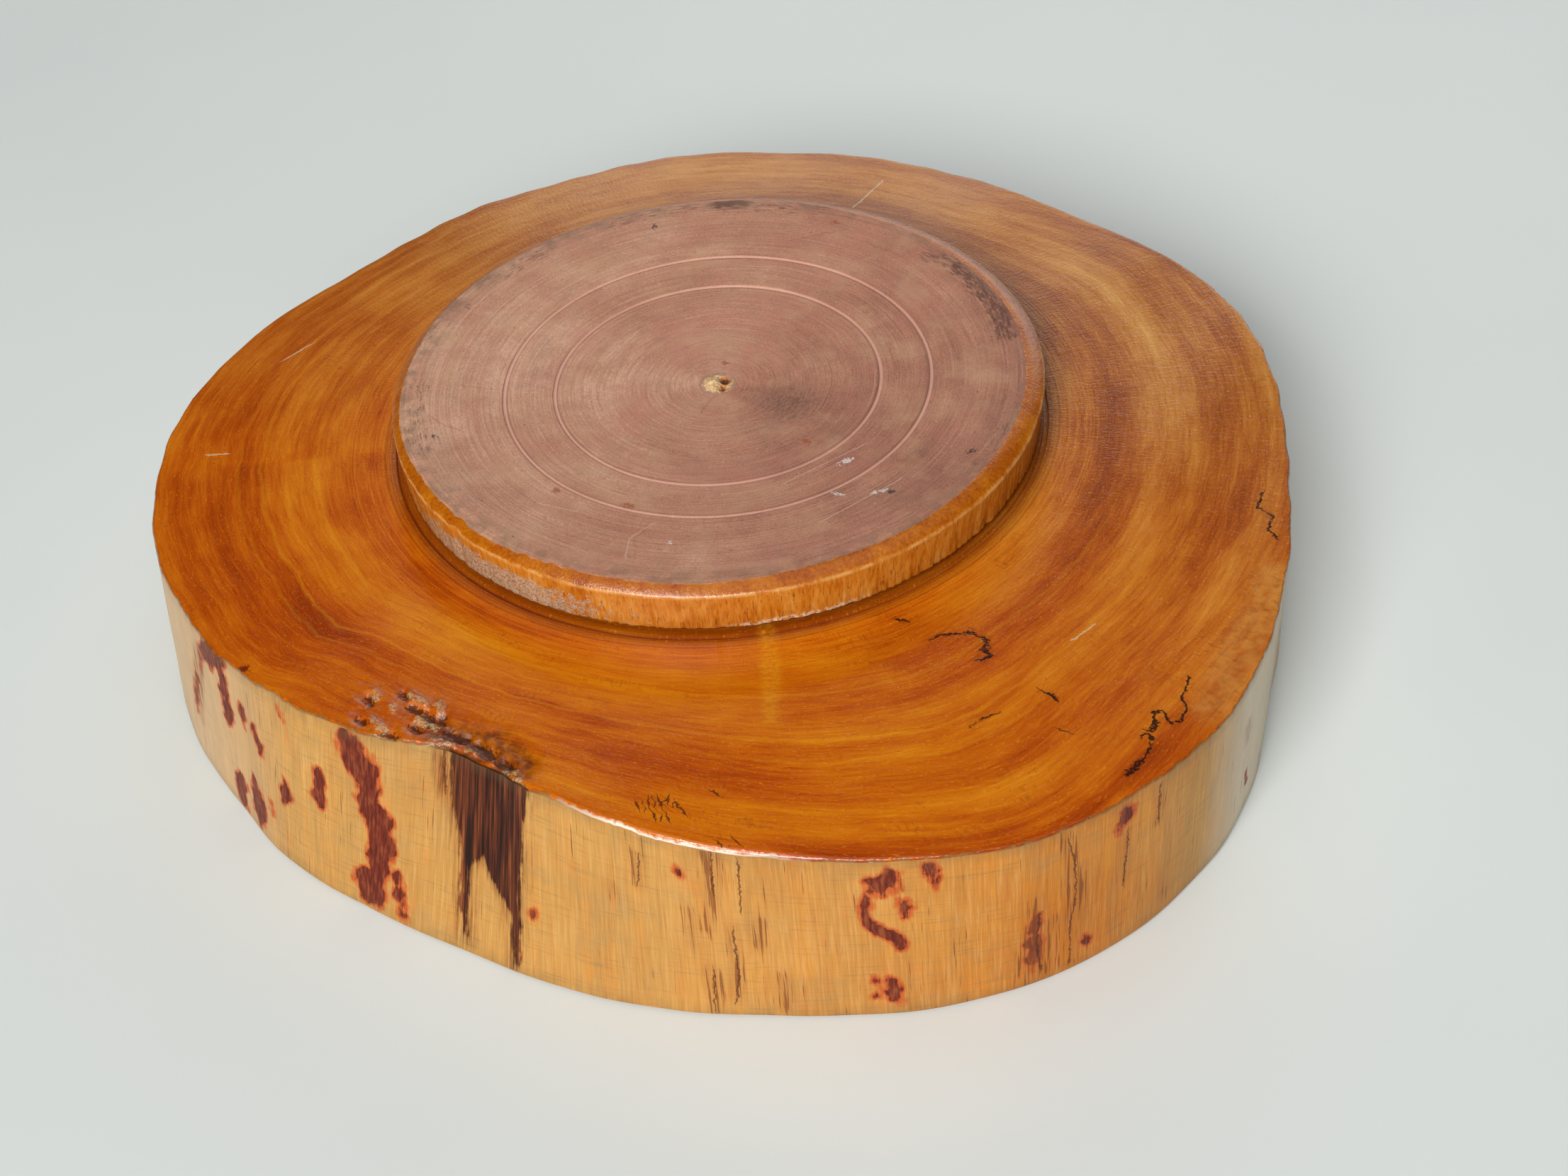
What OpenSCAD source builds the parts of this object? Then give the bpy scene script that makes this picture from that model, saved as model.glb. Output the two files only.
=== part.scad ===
// Live-edge lazy susan: a thick slice of log that turns on a round wooden base.
// It is drawn as it lies upside down, tray face on the table and base uppermost.
// The origin is the point where the spin axis meets the tray's face, and +Z points
// from the tray to the base.

/* [Tray] */
// Thickness of the log slice
tray_t = 68; // [60:1:80]
// Share of its full size that the slice's outline has
edge_scale = 1; // [0.9:0.01:1.05]
// Outer radius of the turned groove that frames the base
frame_groove_r = 116.5; // [116:0.5:118]
// Width of that groove
frame_groove_w = 2; // [1:0.5:3]
// Depth of that groove
frame_groove_d = 1.2; // [0.5:0.1:2]

/* [Base] */
// Thickness of the base at its rim
base_t = 18; // [17:1:24]
// Radius of the base where it faces the tray
base_foot_r = 114; // [113:0.5:114]
// Largest radius of the base, at the lower edge of its bevel
base_edge_r = 115.5; // [115:0.5:116]
// Radius where the bevel meets the flat rim
base_rim_r = 110.7; // [109:0.1:112]
// Height of the bevel
bevel_h = 2.9; // [2:0.1:4]
// Radius where the flat rim ends and the shallow dish begins
dish_r = 106; // [100:1:108]
// Depth of the dish at the centre
dish_d = 3.5; // [2:0.1:3.6]
// Radius of the inner scribed circle
inner_scribe_r = 57.8; // [50:0.1:60]
// Radius of the outer scribed circle
outer_scribe_r = 75.6; // [70:0.1:80]
// Half the width of a scribed circle's groove
scribe_groove_r = 0.8; // [0.5:0.1:1]
// Gap between the tray and the base
gap = 2; // [1.8:0.1:2.4]

/* [Bearing] */
// Number of balls
ball_count = 16; // [16:1:16]
// Radius of a ball
ball_r = 3; // [2.8:0.1:3]
// Radius of the circle that the balls run on
ball_circle_r = 64; // [63.8:0.1:64.2]
// Running clearance between a ball and its track
ball_clear = 0.05; // [0.02:0.01:0.08]
// Inner radius of both races
race_in_r = 58; // [56:0.5:58]
// Outer radius of both races
race_out_r = 76; // [76:0.5:78]
// Thickness of a race
race_t = 3.5; // [3.2:0.1:4]
// Thickness of the ball cage
cage_t = 1.2; // [1:0.1:1.4]
// Inner radius of the ball cage
cage_in_r = 59.5; // [59:0.1:60]
// Outer radius of the ball cage
cage_out_r = 68; // [67.8:0.1:68]
// Clearance round a ball in its pocket in the cage
pocket_clear = 0.15; // [0.1:0.05:0.2]

/* [Race screws] */
// Number of screws in each race
race_screw_count = 4; // [4:1:4]
// Radius of the circle that the race screws are on
race_screw_circle_r = 71.5; // [71.4:0.1:71.6]
// Radius of a race screw's countersunk head
race_screw_head_r = 3.2; // [3:0.1:3.2]
// Height of that head
race_screw_head_h = 1.8; // [1.5:0.1:2]
// Radius of a race screw's shank
race_screw_r = 1.5; // [1.4:0.1:1.6]
// Length of a race screw
race_screw_l = 12; // [10:1:12]
// Half the width of the cross recess's arms
cross_half_w = 0.45; // [0.4:0.05:0.5]
// Depth of the cross recess
cross_d = 1.2; // [1:0.1:1.4]

/* [Pivot] */
// Radius of the pivot bolt's shoulder
shoulder_r = 4; // [3.9:0.1:4]
// Running clearance between the shoulder and its bushing
shoulder_clear = 0.05; // [0.02:0.01:0.08]
// Radius of the pivot bolt's threaded end
thread_r = 3; // [2.9:0.1:3]
// Length of the threaded end
thread_l = 12; // [10:1:14]
// Radius of the pivot bolt's head
bolt_head_r = 6; // [5.8:0.1:6.2]
// Height of the pivot bolt's head
bolt_head_h = 4; // [3.5:0.1:4]
// Width across the flats of the head's hexagon socket
socket_af = 4; // [3:0.5:5]
// Depth of that socket
socket_d = 2.2; // [1.5:0.1:2.5]
// End float that lets the base spin
end_float = 0.1; // [0.05:0.05:0.2]
// Outer radius of the bushing
bushing_r = 5.5; // [5.2:0.1:5.6]
// Length of the bushing
bushing_l = 6; // [5:0.5:6]
// Thickness of the washer under the bolt's head
washer_t = 1; // [0.8:0.1:1]
// Outer radius of that washer
washer_r = 6.4; // [6.2:0.1:6.5]
// Outer radius of the threaded insert in the tray
insert_r = 5; // [4.6:0.1:5.4]
// Length of that insert
insert_l = 15; // [14:1:18]
// Radius of the wooden plug over the bolt's head
plug_r = 6.6; // [6.6:0.1:7]
// Space between the bolt's head and the plug
plug_space = 0.4; // [0.2:0.1:0.5]

/* [Hidden] */
$fn = 96;
eps = 0.01;

// The live edge: its distance from the spin axis every 15 degrees, from +X round by +Y.
// At 240 degrees a hollow in the log cuts into the side that faces the base.
face_edge = [
    199, 195, 184, 178, 178, 177, 178, 177,
    179, 181, 190, 199, 206, 207, 206, 207,
    207, 215, 222, 233, 233, 223, 208, 200
];
base_side_edge = [
    198, 194, 183, 176, 176, 175, 176, 174,
    176, 177, 186, 196, 202, 203, 200, 192,
    182, 199, 216, 231, 235, 227, 211, 199
];
edge_step = 360 / len(face_edge);
edge_parts = 4;
outline_count = len(face_edge) * edge_parts;

base_z = tray_t + gap;
top_z = base_z + base_t;
dish_z = top_z - dish_d;
ball_z = tray_t + gap / 2;
track_r = ball_r + ball_clear;
ball_pitch = 360 / ball_count;
race_screw_pitch = 360 / race_screw_count;
washer_z = base_z + bushing_l;
bolt_head_z = washer_z + washer_t + end_float;
plug_z = bolt_head_z + bolt_head_h + plug_space;
dish_steps = 12;
dish_sphere_r = (dish_r * dish_r + dish_d * dish_d) / (2 * dish_d);

// Height of the dished face at a distance r from the axis
function dish_height(r) = dish_z + dish_sphere_r - sqrt(dish_sphere_r * dish_sphere_r - r * r);

// One point of a smooth closed curve through the list v: t parts of a step after its i-th value
function smooth(v, i, t) =
    let (
        n = len(v),
        a = v[(i + n - 1) % n],
        b = v[i],
        c = v[(i + 1) % n],
        d = v[(i + 2) % n]
    )
    b + t * (c - a + t * (2 * a - 5 * b + 4 * c - d + t * (3 * (b - c) + d - a))) / 2;

// The smooth outline through a list of distances, at height z
function outline(edge, z) = [
    for (i = [0 : len(edge) - 1], j = [0 : edge_parts - 1])
        let (
            r = edge_scale * smooth(edge, i, j / edge_parts),
            a = edge_step * (i + j / edge_parts)
        )
        [r * cos(a), r * sin(a), z]
];

// The log slice itself: the outline of its face, joined to the outline of its base side
module slice() {
    polyhedron(
        points = concat(outline(face_edge, 0), outline(base_side_edge, tray_t)),
        faces = concat(
            [[for (i = [0 : outline_count - 1]) i]],
            [[for (i = [outline_count - 1 : -1 : 0]) outline_count + i]],
            [
                for (i = [0 : outline_count - 1])
                    let (next = (i + 1) % outline_count)
                    [next, i, outline_count + i]
            ],
            [
                for (i = [0 : outline_count - 1])
                    let (next = (i + 1) % outline_count)
                    [next, outline_count + i, outline_count + next]
            ]
        )
    );
}

// A flat ring that stands on z = 0
module ring(in_r, out_r, h) {
    difference() {
        cylinder(r = out_r, h = h);
        translate([0, 0, -eps]) cylinder(r = in_r, h = h + 2 * eps);
    }
}

// The round track that the balls run in, as a tool to cut with
module track() {
    translate([0, 0, ball_z]) rotate_extrude() translate([ball_circle_r, 0]) circle(r = track_r, $fn = 48);
}

// A countersunk cross-head screw whose head is flush with z = 0 and whose shank points down
module race_screw() {
    difference() {
        union() {
            translate([0, 0, -race_screw_head_h])
                cylinder(r1 = race_screw_r, r2 = race_screw_head_r, h = race_screw_head_h, $fn = 48);
            translate([0, 0, -race_screw_l + race_screw_r])
                cylinder(r = race_screw_r, h = race_screw_l - race_screw_r - race_screw_head_h, $fn = 48);
            translate([0, 0, -race_screw_l])
                cylinder(r1 = race_screw_r / 4, r2 = race_screw_r, h = race_screw_r, $fn = 48);
        }
        for (turn = [0, 90])
            rotate(turn)
                translate([-race_screw_r, -cross_half_w, -cross_d])
                    cube([2 * race_screw_r, 2 * cross_half_w, cross_d + eps]);
    }
}

// The space that one race screw fills, as a tool to cut with
module race_screw_space() {
    translate([0, 0, -race_screw_head_h])
        cylinder(r1 = race_screw_r, r2 = race_screw_head_r, h = race_screw_head_h, $fn = 48);
    translate([0, 0, eps - race_screw_l]) cylinder(r = race_screw_r, h = race_screw_l, $fn = 48);
}

// Places a child where race screw i goes in the tray
module at_tray_screw(i) {
    rotate(race_screw_pitch * (i - 0.5)) translate([race_screw_circle_r, 0, tray_t]) children();
}

// Places a child where race screw i goes in the base
module at_base_screw(i) {
    rotate(race_screw_pitch * (i - 1)) translate([race_screw_circle_r, 0, base_z]) rotate([180, 0, 0]) children();
}

// The log slice, with the seats for its race, its race screws and the threaded insert
module tray() {
    color("peru")
        difference() {
            slice();
            translate([0, 0, tray_t - frame_groove_d])
                ring(frame_groove_r - frame_groove_w, frame_groove_r, frame_groove_d + eps);
            translate([0, 0, tray_t - race_t]) ring(race_in_r, race_out_r, race_t + eps);
            translate([0, 0, tray_t - insert_l]) cylinder(r = insert_r, h = insert_l + eps);
            for (i = [1 : race_screw_count]) at_tray_screw(i) race_screw_space();
        }
}

// Half of the base's section: foot, side, bevel, flat rim and dish
base_section = concat(
    [[0, base_z], [base_foot_r, base_z], [base_edge_r, top_z - bevel_h], [base_rim_r, top_z]],
    [for (i = [dish_steps : -1 : 1]) let (r = dish_r * i / dish_steps) [r, dish_height(r)]],
    [[0, dish_z]]
);

// The turned base: dished face, bevelled rim and two scribed circles
module base_disc() {
    color("rosybrown")
        difference() {
            rotate_extrude($fn = 192) polygon(base_section);
            for (r = [inner_scribe_r, outer_scribe_r])
                translate([0, 0, dish_height(r)])
                    rotate_extrude() translate([r, 0]) circle(r = scribe_groove_r, $fn = 32);
            translate([0, 0, base_z - eps]) ring(race_in_r, race_out_r, race_t + eps);
            translate([0, 0, base_z - eps]) cylinder(r = bushing_r, h = bushing_l + 2 * eps);
            translate([0, 0, washer_z]) cylinder(r = plug_r, h = base_t);
            for (i = [1 : race_screw_count]) at_base_screw(i) race_screw_space();
        }
}

// The steel race that is let into the tray
module tray_race() {
    color("silver")
        difference() {
            translate([0, 0, tray_t - race_t]) ring(race_in_r, race_out_r, race_t);
            track();
            for (i = [1 : race_screw_count]) at_tray_screw(i) race_screw_space();
        }
}

// The steel race that is let into the base
module base_race() {
    color("silver")
        difference() {
            translate([0, 0, base_z]) ring(race_in_r, race_out_r, race_t);
            track();
            for (i = [1 : race_screw_count]) at_base_screw(i) race_screw_space();
        }
}

// The flat ring that keeps the balls apart
module ball_cage() {
    color("ivory")
        difference() {
            translate([0, 0, ball_z - cage_t / 2]) ring(cage_in_r, cage_out_r, cage_t);
            for (i = [1 : ball_count])
                rotate(ball_pitch * (i - 1))
                    translate([ball_circle_r, 0, ball_z - cage_t])
                        cylinder(r = ball_r + pocket_clear, h = 2 * cage_t, $fn = 48);
        }
}

// Ball i of the bearing
module ball(i) {
    color("gainsboro")
        rotate(ball_pitch * (i - 1)) translate([ball_circle_r, 0, ball_z]) sphere(r = ball_r, $fn = 48);
}

// Screw i of the tray's race
module tray_race_screw(i) {
    color("darkgray") at_tray_screw(i) race_screw();
}

// Screw i of the base's race
module base_race_screw(i) {
    color("darkgray") at_base_screw(i) race_screw();
}

// The brass insert that the pivot bolt screws into
module pivot_insert() {
    color("goldenrod")
        translate([0, 0, tray_t - insert_l])
            difference() {
                cylinder(r = insert_r, h = insert_l);
                translate([0, 0, insert_l - thread_l]) cylinder(r = thread_r, h = thread_l + eps);
            }
}

// The shoulder bolt that the base turns on
module pivot_bolt() {
    color("dimgray")
        difference() {
            union() {
                translate([0, 0, tray_t - thread_l]) cylinder(r = thread_r, h = thread_l + eps);
                translate([0, 0, tray_t]) cylinder(r = shoulder_r, h = bolt_head_z - tray_t + eps);
                translate([0, 0, bolt_head_z]) cylinder(r = bolt_head_r, h = bolt_head_h);
            }
            translate([0, 0, bolt_head_z + bolt_head_h - socket_d])
                cylinder(d = socket_af / cos(30), h = socket_d + eps, $fn = 6);
        }
}

// The washer between the bolt's head and the base
module pivot_washer() {
    color("darkgray") translate([0, 0, washer_z]) ring(shoulder_r + shoulder_clear, washer_r, washer_t);
}

// The brass bushing that is pressed into the base
module pivot_bushing() {
    color("goldenrod") translate([0, 0, base_z]) ring(shoulder_r + shoulder_clear, bushing_r, bushing_l);
}

// The wooden plug that hides the bolt
module pivot_plug() {
    color("wheat") translate([0, 0, plug_z]) cylinder(r = plug_r, h = dish_z - plug_z);
}

tray();
base_disc();
tray_race();
base_race();
ball_cage();
for (i = [1 : ball_count]) {
    ball(i);
}
for (i = [1 : race_screw_count]) {
    tray_race_screw(i);
    base_race_screw(i);
}
pivot_insert();
pivot_bolt();
pivot_washer();
pivot_bushing();
pivot_plug();
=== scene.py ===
"""Lazy susan turntable: a waxed slice of tree trunk, lying on its tray's face with the base disc uppermost.

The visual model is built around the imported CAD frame. The tray, the base disc and the pith plug are
remade as dense meshes with worn, wavy edges. The bearing, screws and pivot keep their CAD shapes and
get procedural metal, brass and nylon. Sizes in this file are millimetres and degrees unless said.
"""
import math

import bmesh
import bpy
import numpy as np
from mathutils import Matrix, Vector


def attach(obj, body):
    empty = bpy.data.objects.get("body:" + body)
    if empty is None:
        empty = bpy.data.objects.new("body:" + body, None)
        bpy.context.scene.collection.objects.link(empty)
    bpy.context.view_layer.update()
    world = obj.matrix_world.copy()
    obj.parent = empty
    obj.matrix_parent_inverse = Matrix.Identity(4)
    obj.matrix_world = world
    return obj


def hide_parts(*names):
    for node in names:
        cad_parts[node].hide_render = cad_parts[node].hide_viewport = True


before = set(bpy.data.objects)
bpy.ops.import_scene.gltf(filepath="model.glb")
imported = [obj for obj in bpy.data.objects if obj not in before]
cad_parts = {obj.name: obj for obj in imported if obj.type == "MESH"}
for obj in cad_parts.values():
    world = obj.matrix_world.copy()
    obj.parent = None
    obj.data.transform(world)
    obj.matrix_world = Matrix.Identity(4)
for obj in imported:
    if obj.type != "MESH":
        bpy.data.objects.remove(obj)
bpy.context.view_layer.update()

MM = 0.001

# ------------------------------------------------------------------ sizes

# Outline of the tray every 10 degrees from -180 (the -X side), going round by the front (-Y).
BASE_SIDE_EDGE = [202, 203.5, 202, 200, 195.5, 189.5, 182, 192, 204.5, 215.5, 226, 235.5,
                  235, 231, 221, 211, 203, 199, 198, 196, 191, 183, 177.5, 176,
                  176, 175.5, 175, 176, 175, 174.5, 176, 176, 178.5, 186, 193, 199]
FACE_EDGE = [206, 207, 207, 206, 207, 206, 206.5, 212, 217.5, 222, 229.5, 233.5,
             233, 227.5, 218, 207.5, 202.5, 199.5, 198.5, 197, 191.5, 184, 179, 178,
             178, 177, 177, 177.5, 177.5, 177.5, 179, 179.5, 183.5, 190, 196, 202]
OUTLINE_STEP = 10

TRAY_TOP = 68          # height of the tray's base side, which is uppermost here
GROOVE_IN = 114.5      # turned groove that frames the base disc
GROOVE_OUT = 116.5
GROOVE_DEPTH = 1.2
POCKET_IN = 58         # race pockets of tray and base
POCKET_OUT = 76
POCKET_DEPTH = 3.5
INSERT_RADIUS = 5
INSERT_FLOOR = 53
LOWER_BEND = 1.6       # rounding where the wall meets the serving face

DISC_LOW = 70          # the base disc's gap side
DISC_HIGH = 88         # its rim, the highest line of the object
DISC_FOOT = 114        # radius at the gap side
DISC_EDGE = 115.4      # widest radius, just under the bevel
DISC_EDGE_HEIGHT = 85.1
RAW_RADIUS = 110.6     # where the varnished bevel meets the raw face
DISH_RADIUS = 106
DISH_DEPTH = 3.5
BUSHING_RADIUS = 5.5
BUSHING_TOP = 76
PLUG_RADIUS = 6.6
PLUG_FLOOR = 81.5
SCRIBES = (57.8, 75.6)  # the two scribed circles
SCRIBE_HALF = 0.8

WALL_MM_PER_DEGREE = 3.6
WALL_REACH = 2.1       # the wall's mean radius, in units of 100 mm

# ------------------------------------------------------------------ marks on the tray's wall
# Strokes are lists of (angle, height, half width): a round brush drawn along the wall.

RED_STAINS = [
    # the long stain
    [(-132.5, 63.5, 1.5), (-132.5, 61, 4.6), (-131.6, 57, 5.4), (-130.8, 53, 5.8),
     (-130, 49.5, 4), (-130, 45.5, 3.8), (-130.6, 42.5, 3.6), (-129.4, 38.5, 4.6),
     (-128.9, 35, 4.8), (-128.3, 31.5, 3.2), (-128.6, 28.5, 5), (-129, 24, 4.8),
     (-129, 20, 4.2), (-129.5, 16.5, 2), (-130, 12.5, 4.6), (-130, 9, 6.4), (-129.8, 5, 2.5)],
    [(-126.8, 19, 1), (-126.4, 13, 1.5), (-126.6, 8, 1.4), (-125.9, 3, 0.8)],
    # drops between it and the left end
    [(-136.1, 46, 0.8), (-136, 42, 1.8), (-136, 36, 2.8), (-135.8, 32, 1)],
    [(-140.8, 33, 0.8), (-140.8, 28.5, 2.8), (-141, 25, 1.4)],
    [(-140.8, 63, 0.4), (-140.9, 60.5, 0.9)],
    [(-143, 19, 0.4), (-143, 17, 0.7)],
    # the group at the left end
    [(-150.5, 67, 4), (-152, 63, 4.8), (-154.3, 60.5, 2.2)],
    [(-150.4, 62, 2), (-150, 57, 1.6), (-149.8, 50, 2.4), (-149.8, 44, 3.2), (-150, 40.5, 2.6)],
    [(-147.4, 54, 0.6), (-147.2, 48, 2.2), (-147.3, 45, 0.9)],
    [(-145.5, 47, 0.3), (-144.4, 42, 1), (-144.2, 38, 0.5)],
    [(-155, 56, 1.2), (-155.4, 49, 0.8)],
    [(-157, 41, 1), (-158, 32, 1.8), (-158.8, 23, 0.8)],
    [(-146.3, 24, 0.7), (-145.6, 17, 3), (-145.6, 11, 4), (-145.8, 5.5, 1.8)],
    [(-149.3, 17.5, 1.2), (-149.4, 12, 4.2), (-149.3, 5, 2.6)],
    # front right: star, crescent and the pair below
    [(-80.6, 65, 0.6), (-80.9, 60, 2.2), (-81.3, 54, 1.2)],
    [(-82.4, 60, 0.6), (-81.2, 58, 2), (-79.9, 56, 0.7)],
    [(-82.1, 54.5, 0.5), (-81.2, 57, 1.6), (-80.1, 61.5, 0.6)],
    [(-82.5, 51.5, 0.5), (-82.6, 46, 0.9), (-82.3, 41, 1.2), (-81.6, 37, 1.6), (-80.6, 34.5, 1.7),
     (-80, 31, 1), (-79.9, 28, 0.3)],
    [(-79.5, 48.5, 0.5), (-79.5, 44, 0.8)],
    [(-82.2, 15, 0.6), (-82.2, 9, 0.7)],
    [(-81, 15.5, 0.9), (-81.1, 11, 1.7), (-80.8, 6, 0.7)],
    [(-77.4, 63.5, 1.6), (-77.4, 59, 1.9), (-77.3, 54.7, 0.8)],
    # right: dark vein and the purple patch
    [(-69.4, 32, 0.5), (-69.7, 22, 1.4), (-69.8, 14, 2), (-69.8, 7, 1)],
    [(-61.5, 62, 2.2), (-61.6, 58, 2.2), (-62, 53, 0.7)],
    [(-43.5, 20, 0.4), (-43.4, 14, 0.9)],
    # small ticks
    [(-111.8, 23, 0.8), (-111.6, 22, 1)],
    [(-97.3, 57, 0.9), (-97.1, 53.5, 0.8)],
    [(-65, 14, 0.6), (-65, 10, 0.6)],
    # guessed, on the side turned away from the photograph
    [(21.6, 58, 0.8), (22, 50, 2.4), (23, 34, 3.2), (22, 20, 1.6)],
    [(24.5, 30, 0.6), (24.8, 22, 1)],
    [(76, 62, 2.2), (77, 52, 2.8), (77, 44, 1)],
    [(121, 30, 1.8), (121.5, 20, 2.4), (122, 12, 1)],
    [(158, 44, 1), (158, 38, 2.6), (159, 26, 2.2), (159.4, 18, 0.8)],
    [(155.4, 14, 0.9), (155.2, 8, 1.1)],
]

# How amber the wall is, as (angle, share) going round; below 0 it is paler than plain tan, a painted sheen at
# the ends where the wall is seen at a glancing angle.
AMBER_AND_SHEEN_ROUND_WALL = [
    (-180, -0.3), (-165, -0.42), (-155, -0.3), (-148, -0.2), (-138, 0.05), (-110, 0.1), (-100, 0.15),
    (-92, 0.3), (-84, 0.35), (-76, 0.55), (-68, 0.9), (-60, 0.7), (-52, -0.05), (-45, -0.9), (-35, -0.9),
    (-15, -0.3), (10, 0.15), (60, 0.3), (120, 0.1), (180, -0.3),
]

# Fine broken fibres: the same strokes, but they only raise the chance of a dark thread.
FIBRE_STREAKS = [
    [(-155, 58, 3), (-157, 40, 4), (-158, 22, 3)],
    [(-122.6, 64, 2), (-121.8, 50, 1.5)],
    [(-103.8, 44, 1), (-103.8, 42, 1)],
    [(-101, 58, 1), (-101, 48, 1)],
    [(-94.6, 68, 2.4), (-94.6, 52, 2.2), (-95.3, 36, 1.6)],
    [(-96.8, 42, 1), (-96.7, 28, 0.8)],
    [(-93.3, 37, 1.2), (-93, 20, 1), (-93.6, 8, 1)],
    [(-95.3, 19, 1.4), (-95.2, 3, 1.2)],
    [(-90.8, 39, 1), (-91, 30, 1)],
    [(-89.5, 17, 1.2), (-89.5, 5, 1)],
    [(-66.7, 62, 1.4), (-66.3, 50, 1.4), (-66.1, 33, 1.2), (-66.6, 18, 1), (-66.6, 5, 1)],
    [(-69.6, 40, 1.4), (-69.8, 20, 3), (-70.2, 4, 2.6)],
    [(-68, 28, 1.5), (-68.2, 6, 1.5)],
    [(-58.2, 64, 0.8), (-58.2, 48, 0.7)],
    [(-61.4, 52, 1), (-61.4, 30, 0.6)],
    [(-56.9, 11, 0.8), (-56.9, 7, 0.8)],
    [(-44.6, 46, 0.9), (-44.5, 38, 0.9)],
]

# The bark-brown patch in the hollow: its left and right edges by height, its lower edge by angle.
PATCH_HEIGHTS = [0, 18, 27, 32, 42, 51, 60, 70]
PATCH_LEFT = [-119, -119.2, -119.5, -119.8, -120.6, -121.4, -121.6, -122]
PATCH_RIGHT = [-113, -113, -113.2, -113, -112.8, -112.8, -112.4, -111.8]
PATCH_FOOT_ANGLES = [-121, -118.7, -117.3, -116.4, -114.7, -113.7, -112]
PATCH_FOOT = [29, 31, 36, 29.5, 23.5, 19, 17]
PATCH_LEGS = [
    [(-119.5, 32, 1.6), (-119.4, 24, 1.6), (-119.4, 17, 2.4), (-119.3, 13, 1.2), (-119, 6, 0.5)],
    [(-113.7, 26, 2), (-113.6, 18, 1.8), (-113.5, 11, 1.8), (-113.4, 3.5, 1.6)],
    [(-122.6, 63, 0.6), (-122.3, 57, 0.9), (-122, 53, 0.5)],
]

# ------------------------------------------------------------------ marks on the tray's top
# Growth rings swing in and out along the rim: (angle, shift as a share of the way out).
RING_WAVE = [
    (-180, 0), (-158, -0.04), (-146, -0.01), (-139, -0.09), (-132, -0.075), (-120, 0.005), (-111, -0.065),
    (-100, -0.095), (-86, -0.07), (-72, -0.05), (-60, -0.065), (-50, -0.105), (-40, -0.135), (-24, -0.14),
    (0, -0.1), (40, -0.02), (90, 0), (130, 0.02), (160, 0.02), (180, 0),
]
# How far the rings stay round instead of following the rim, as (angle, share).
ROUND_RINGS = [(-66, 0), (-46, 0.85), (24, 0.85), (50, 0)]

# How amber the top is, orange in front and brown at the back, as (angle, share).
WARMTH_ROUND_TOP = [
    (-180, 0.85), (-150, 0.95), (-90, 1), (-60, 0.9), (-45, 0.7), (-30, 0.5), (-5, 0.2), (20, 0.1),
    (90, 0.08), (125, 0.12), (150, 0.5), (180, 0.9),
]
# A highlight painted on the upper edge in front, where its varnished rounding catches the light, as (angle,
# strength).
EDGE_HIGHLIGHT = [(-110, 0), (-103, 0.9), (-93, 0.8), (-86, 0)]

# Thin bright growth lines, as (ring coordinate, strength).
PALE_RINGS = ((0.565, 0.25), (0.335, 0.2), (0.66, 0.15))

# Broad bands, as (angle, share of the way from the base disc to the rim, half width of the band).
BAND_DEGREES = 200     # degrees that count as much as the whole way from the disc to the rim
DARK_BANDS = [
    (0.9, [(-182, 0.62, 0.05), (-165, 0.66, 0.08), (-150, 0.6, 0.05)]),
    (0.6, [(-168, 0.12, 0.05), (-150, 0.14, 0.04), (-128, 0.08, 0.04)]),
    (0.5, [(-170, 0.86, 0.05), (-150, 0.84, 0.06), (-138, 0.8, 0.04)]),
    (0.45, [(-128, 0.6, 0.05), (-112, 0.62, 0.07), (-100, 0.6, 0.04)]),
    (0.75, [(-78, 0.35, 0.03), (-64, 0.33, 0.06), (-50, 0.34, 0.05), (-30, 0.3, 0.05), (-15, 0.28, 0.05)]),
    (1.0, [(-54, 0.62, 0.03), (-46, 0.72, 0.06), (-38, 0.83, 0.07), (-28, 0.94, 0.05)]),
    (0.6, [(-26, 0.6, 0.04), (-10, 0.74, 0.08), (8, 0.82, 0.08), (24, 0.88, 0.05)]),
    (0.5, [(-92, 0.72, 0.03), (-78, 0.71, 0.03), (-66, 0.7, 0.03)]),
    (0.7, [(-82, 0.96, 0.02), (-68, 0.95, 0.03), (-52, 0.95, 0.02)]),
    (0.5, [(0, 0.2, 0.12), (30, 0.3, 0.12), (60, 0.4, 0.1)]),
    (0.5, [(150, 0.8, 0.1), (165, 0.75, 0.1), (178, 0.62, 0.05)]),
]
PALE_BANDS = [
    (0.7, [(-178, 0.37, 0.04), (-165, 0.38, 0.05), (-148, 0.33, 0.05), (-138, 0.28, 0.05)]),
    (0.7, [(-132, 0.3, 0.04), (-120, 0.38, 0.05), (-108, 0.33, 0.05)]),
    (0.8, [(-100, 0.88, 0.04), (-88, 0.86, 0.05), (-75, 0.86, 0.04), (-62, 0.8, 0.05)]),
    (0.6, [(-52, 0.44, 0.04), (-40, 0.5, 0.06), (-28, 0.55, 0.06), (-12, 0.56, 0.06), (0, 0.52, 0.06)]),
    (0.8, [(-52, 0.68, 0.03), (-44, 0.82, 0.04), (-37, 0.95, 0.03)]),
    (0.7, [(-28, 0.78, 0.03), (-22, 0.9, 0.04), (-8, 0.94, 0.03)]),
    (0.5, [(-45, 0.1, 0.03), (-25, 0.08, 0.04), (-10, 0.1, 0.03)]),
    (0.5, [(-88, 0.15, 0.04), (-80, 0.55, 0.04), (-70, 0.62, 0.05)]),
    (0.5, [(30, 0.55, 0.07), (60, 0.7, 0.1), (100, 0.8, 0.1), (130, 0.7, 0.08)]),
]

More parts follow.
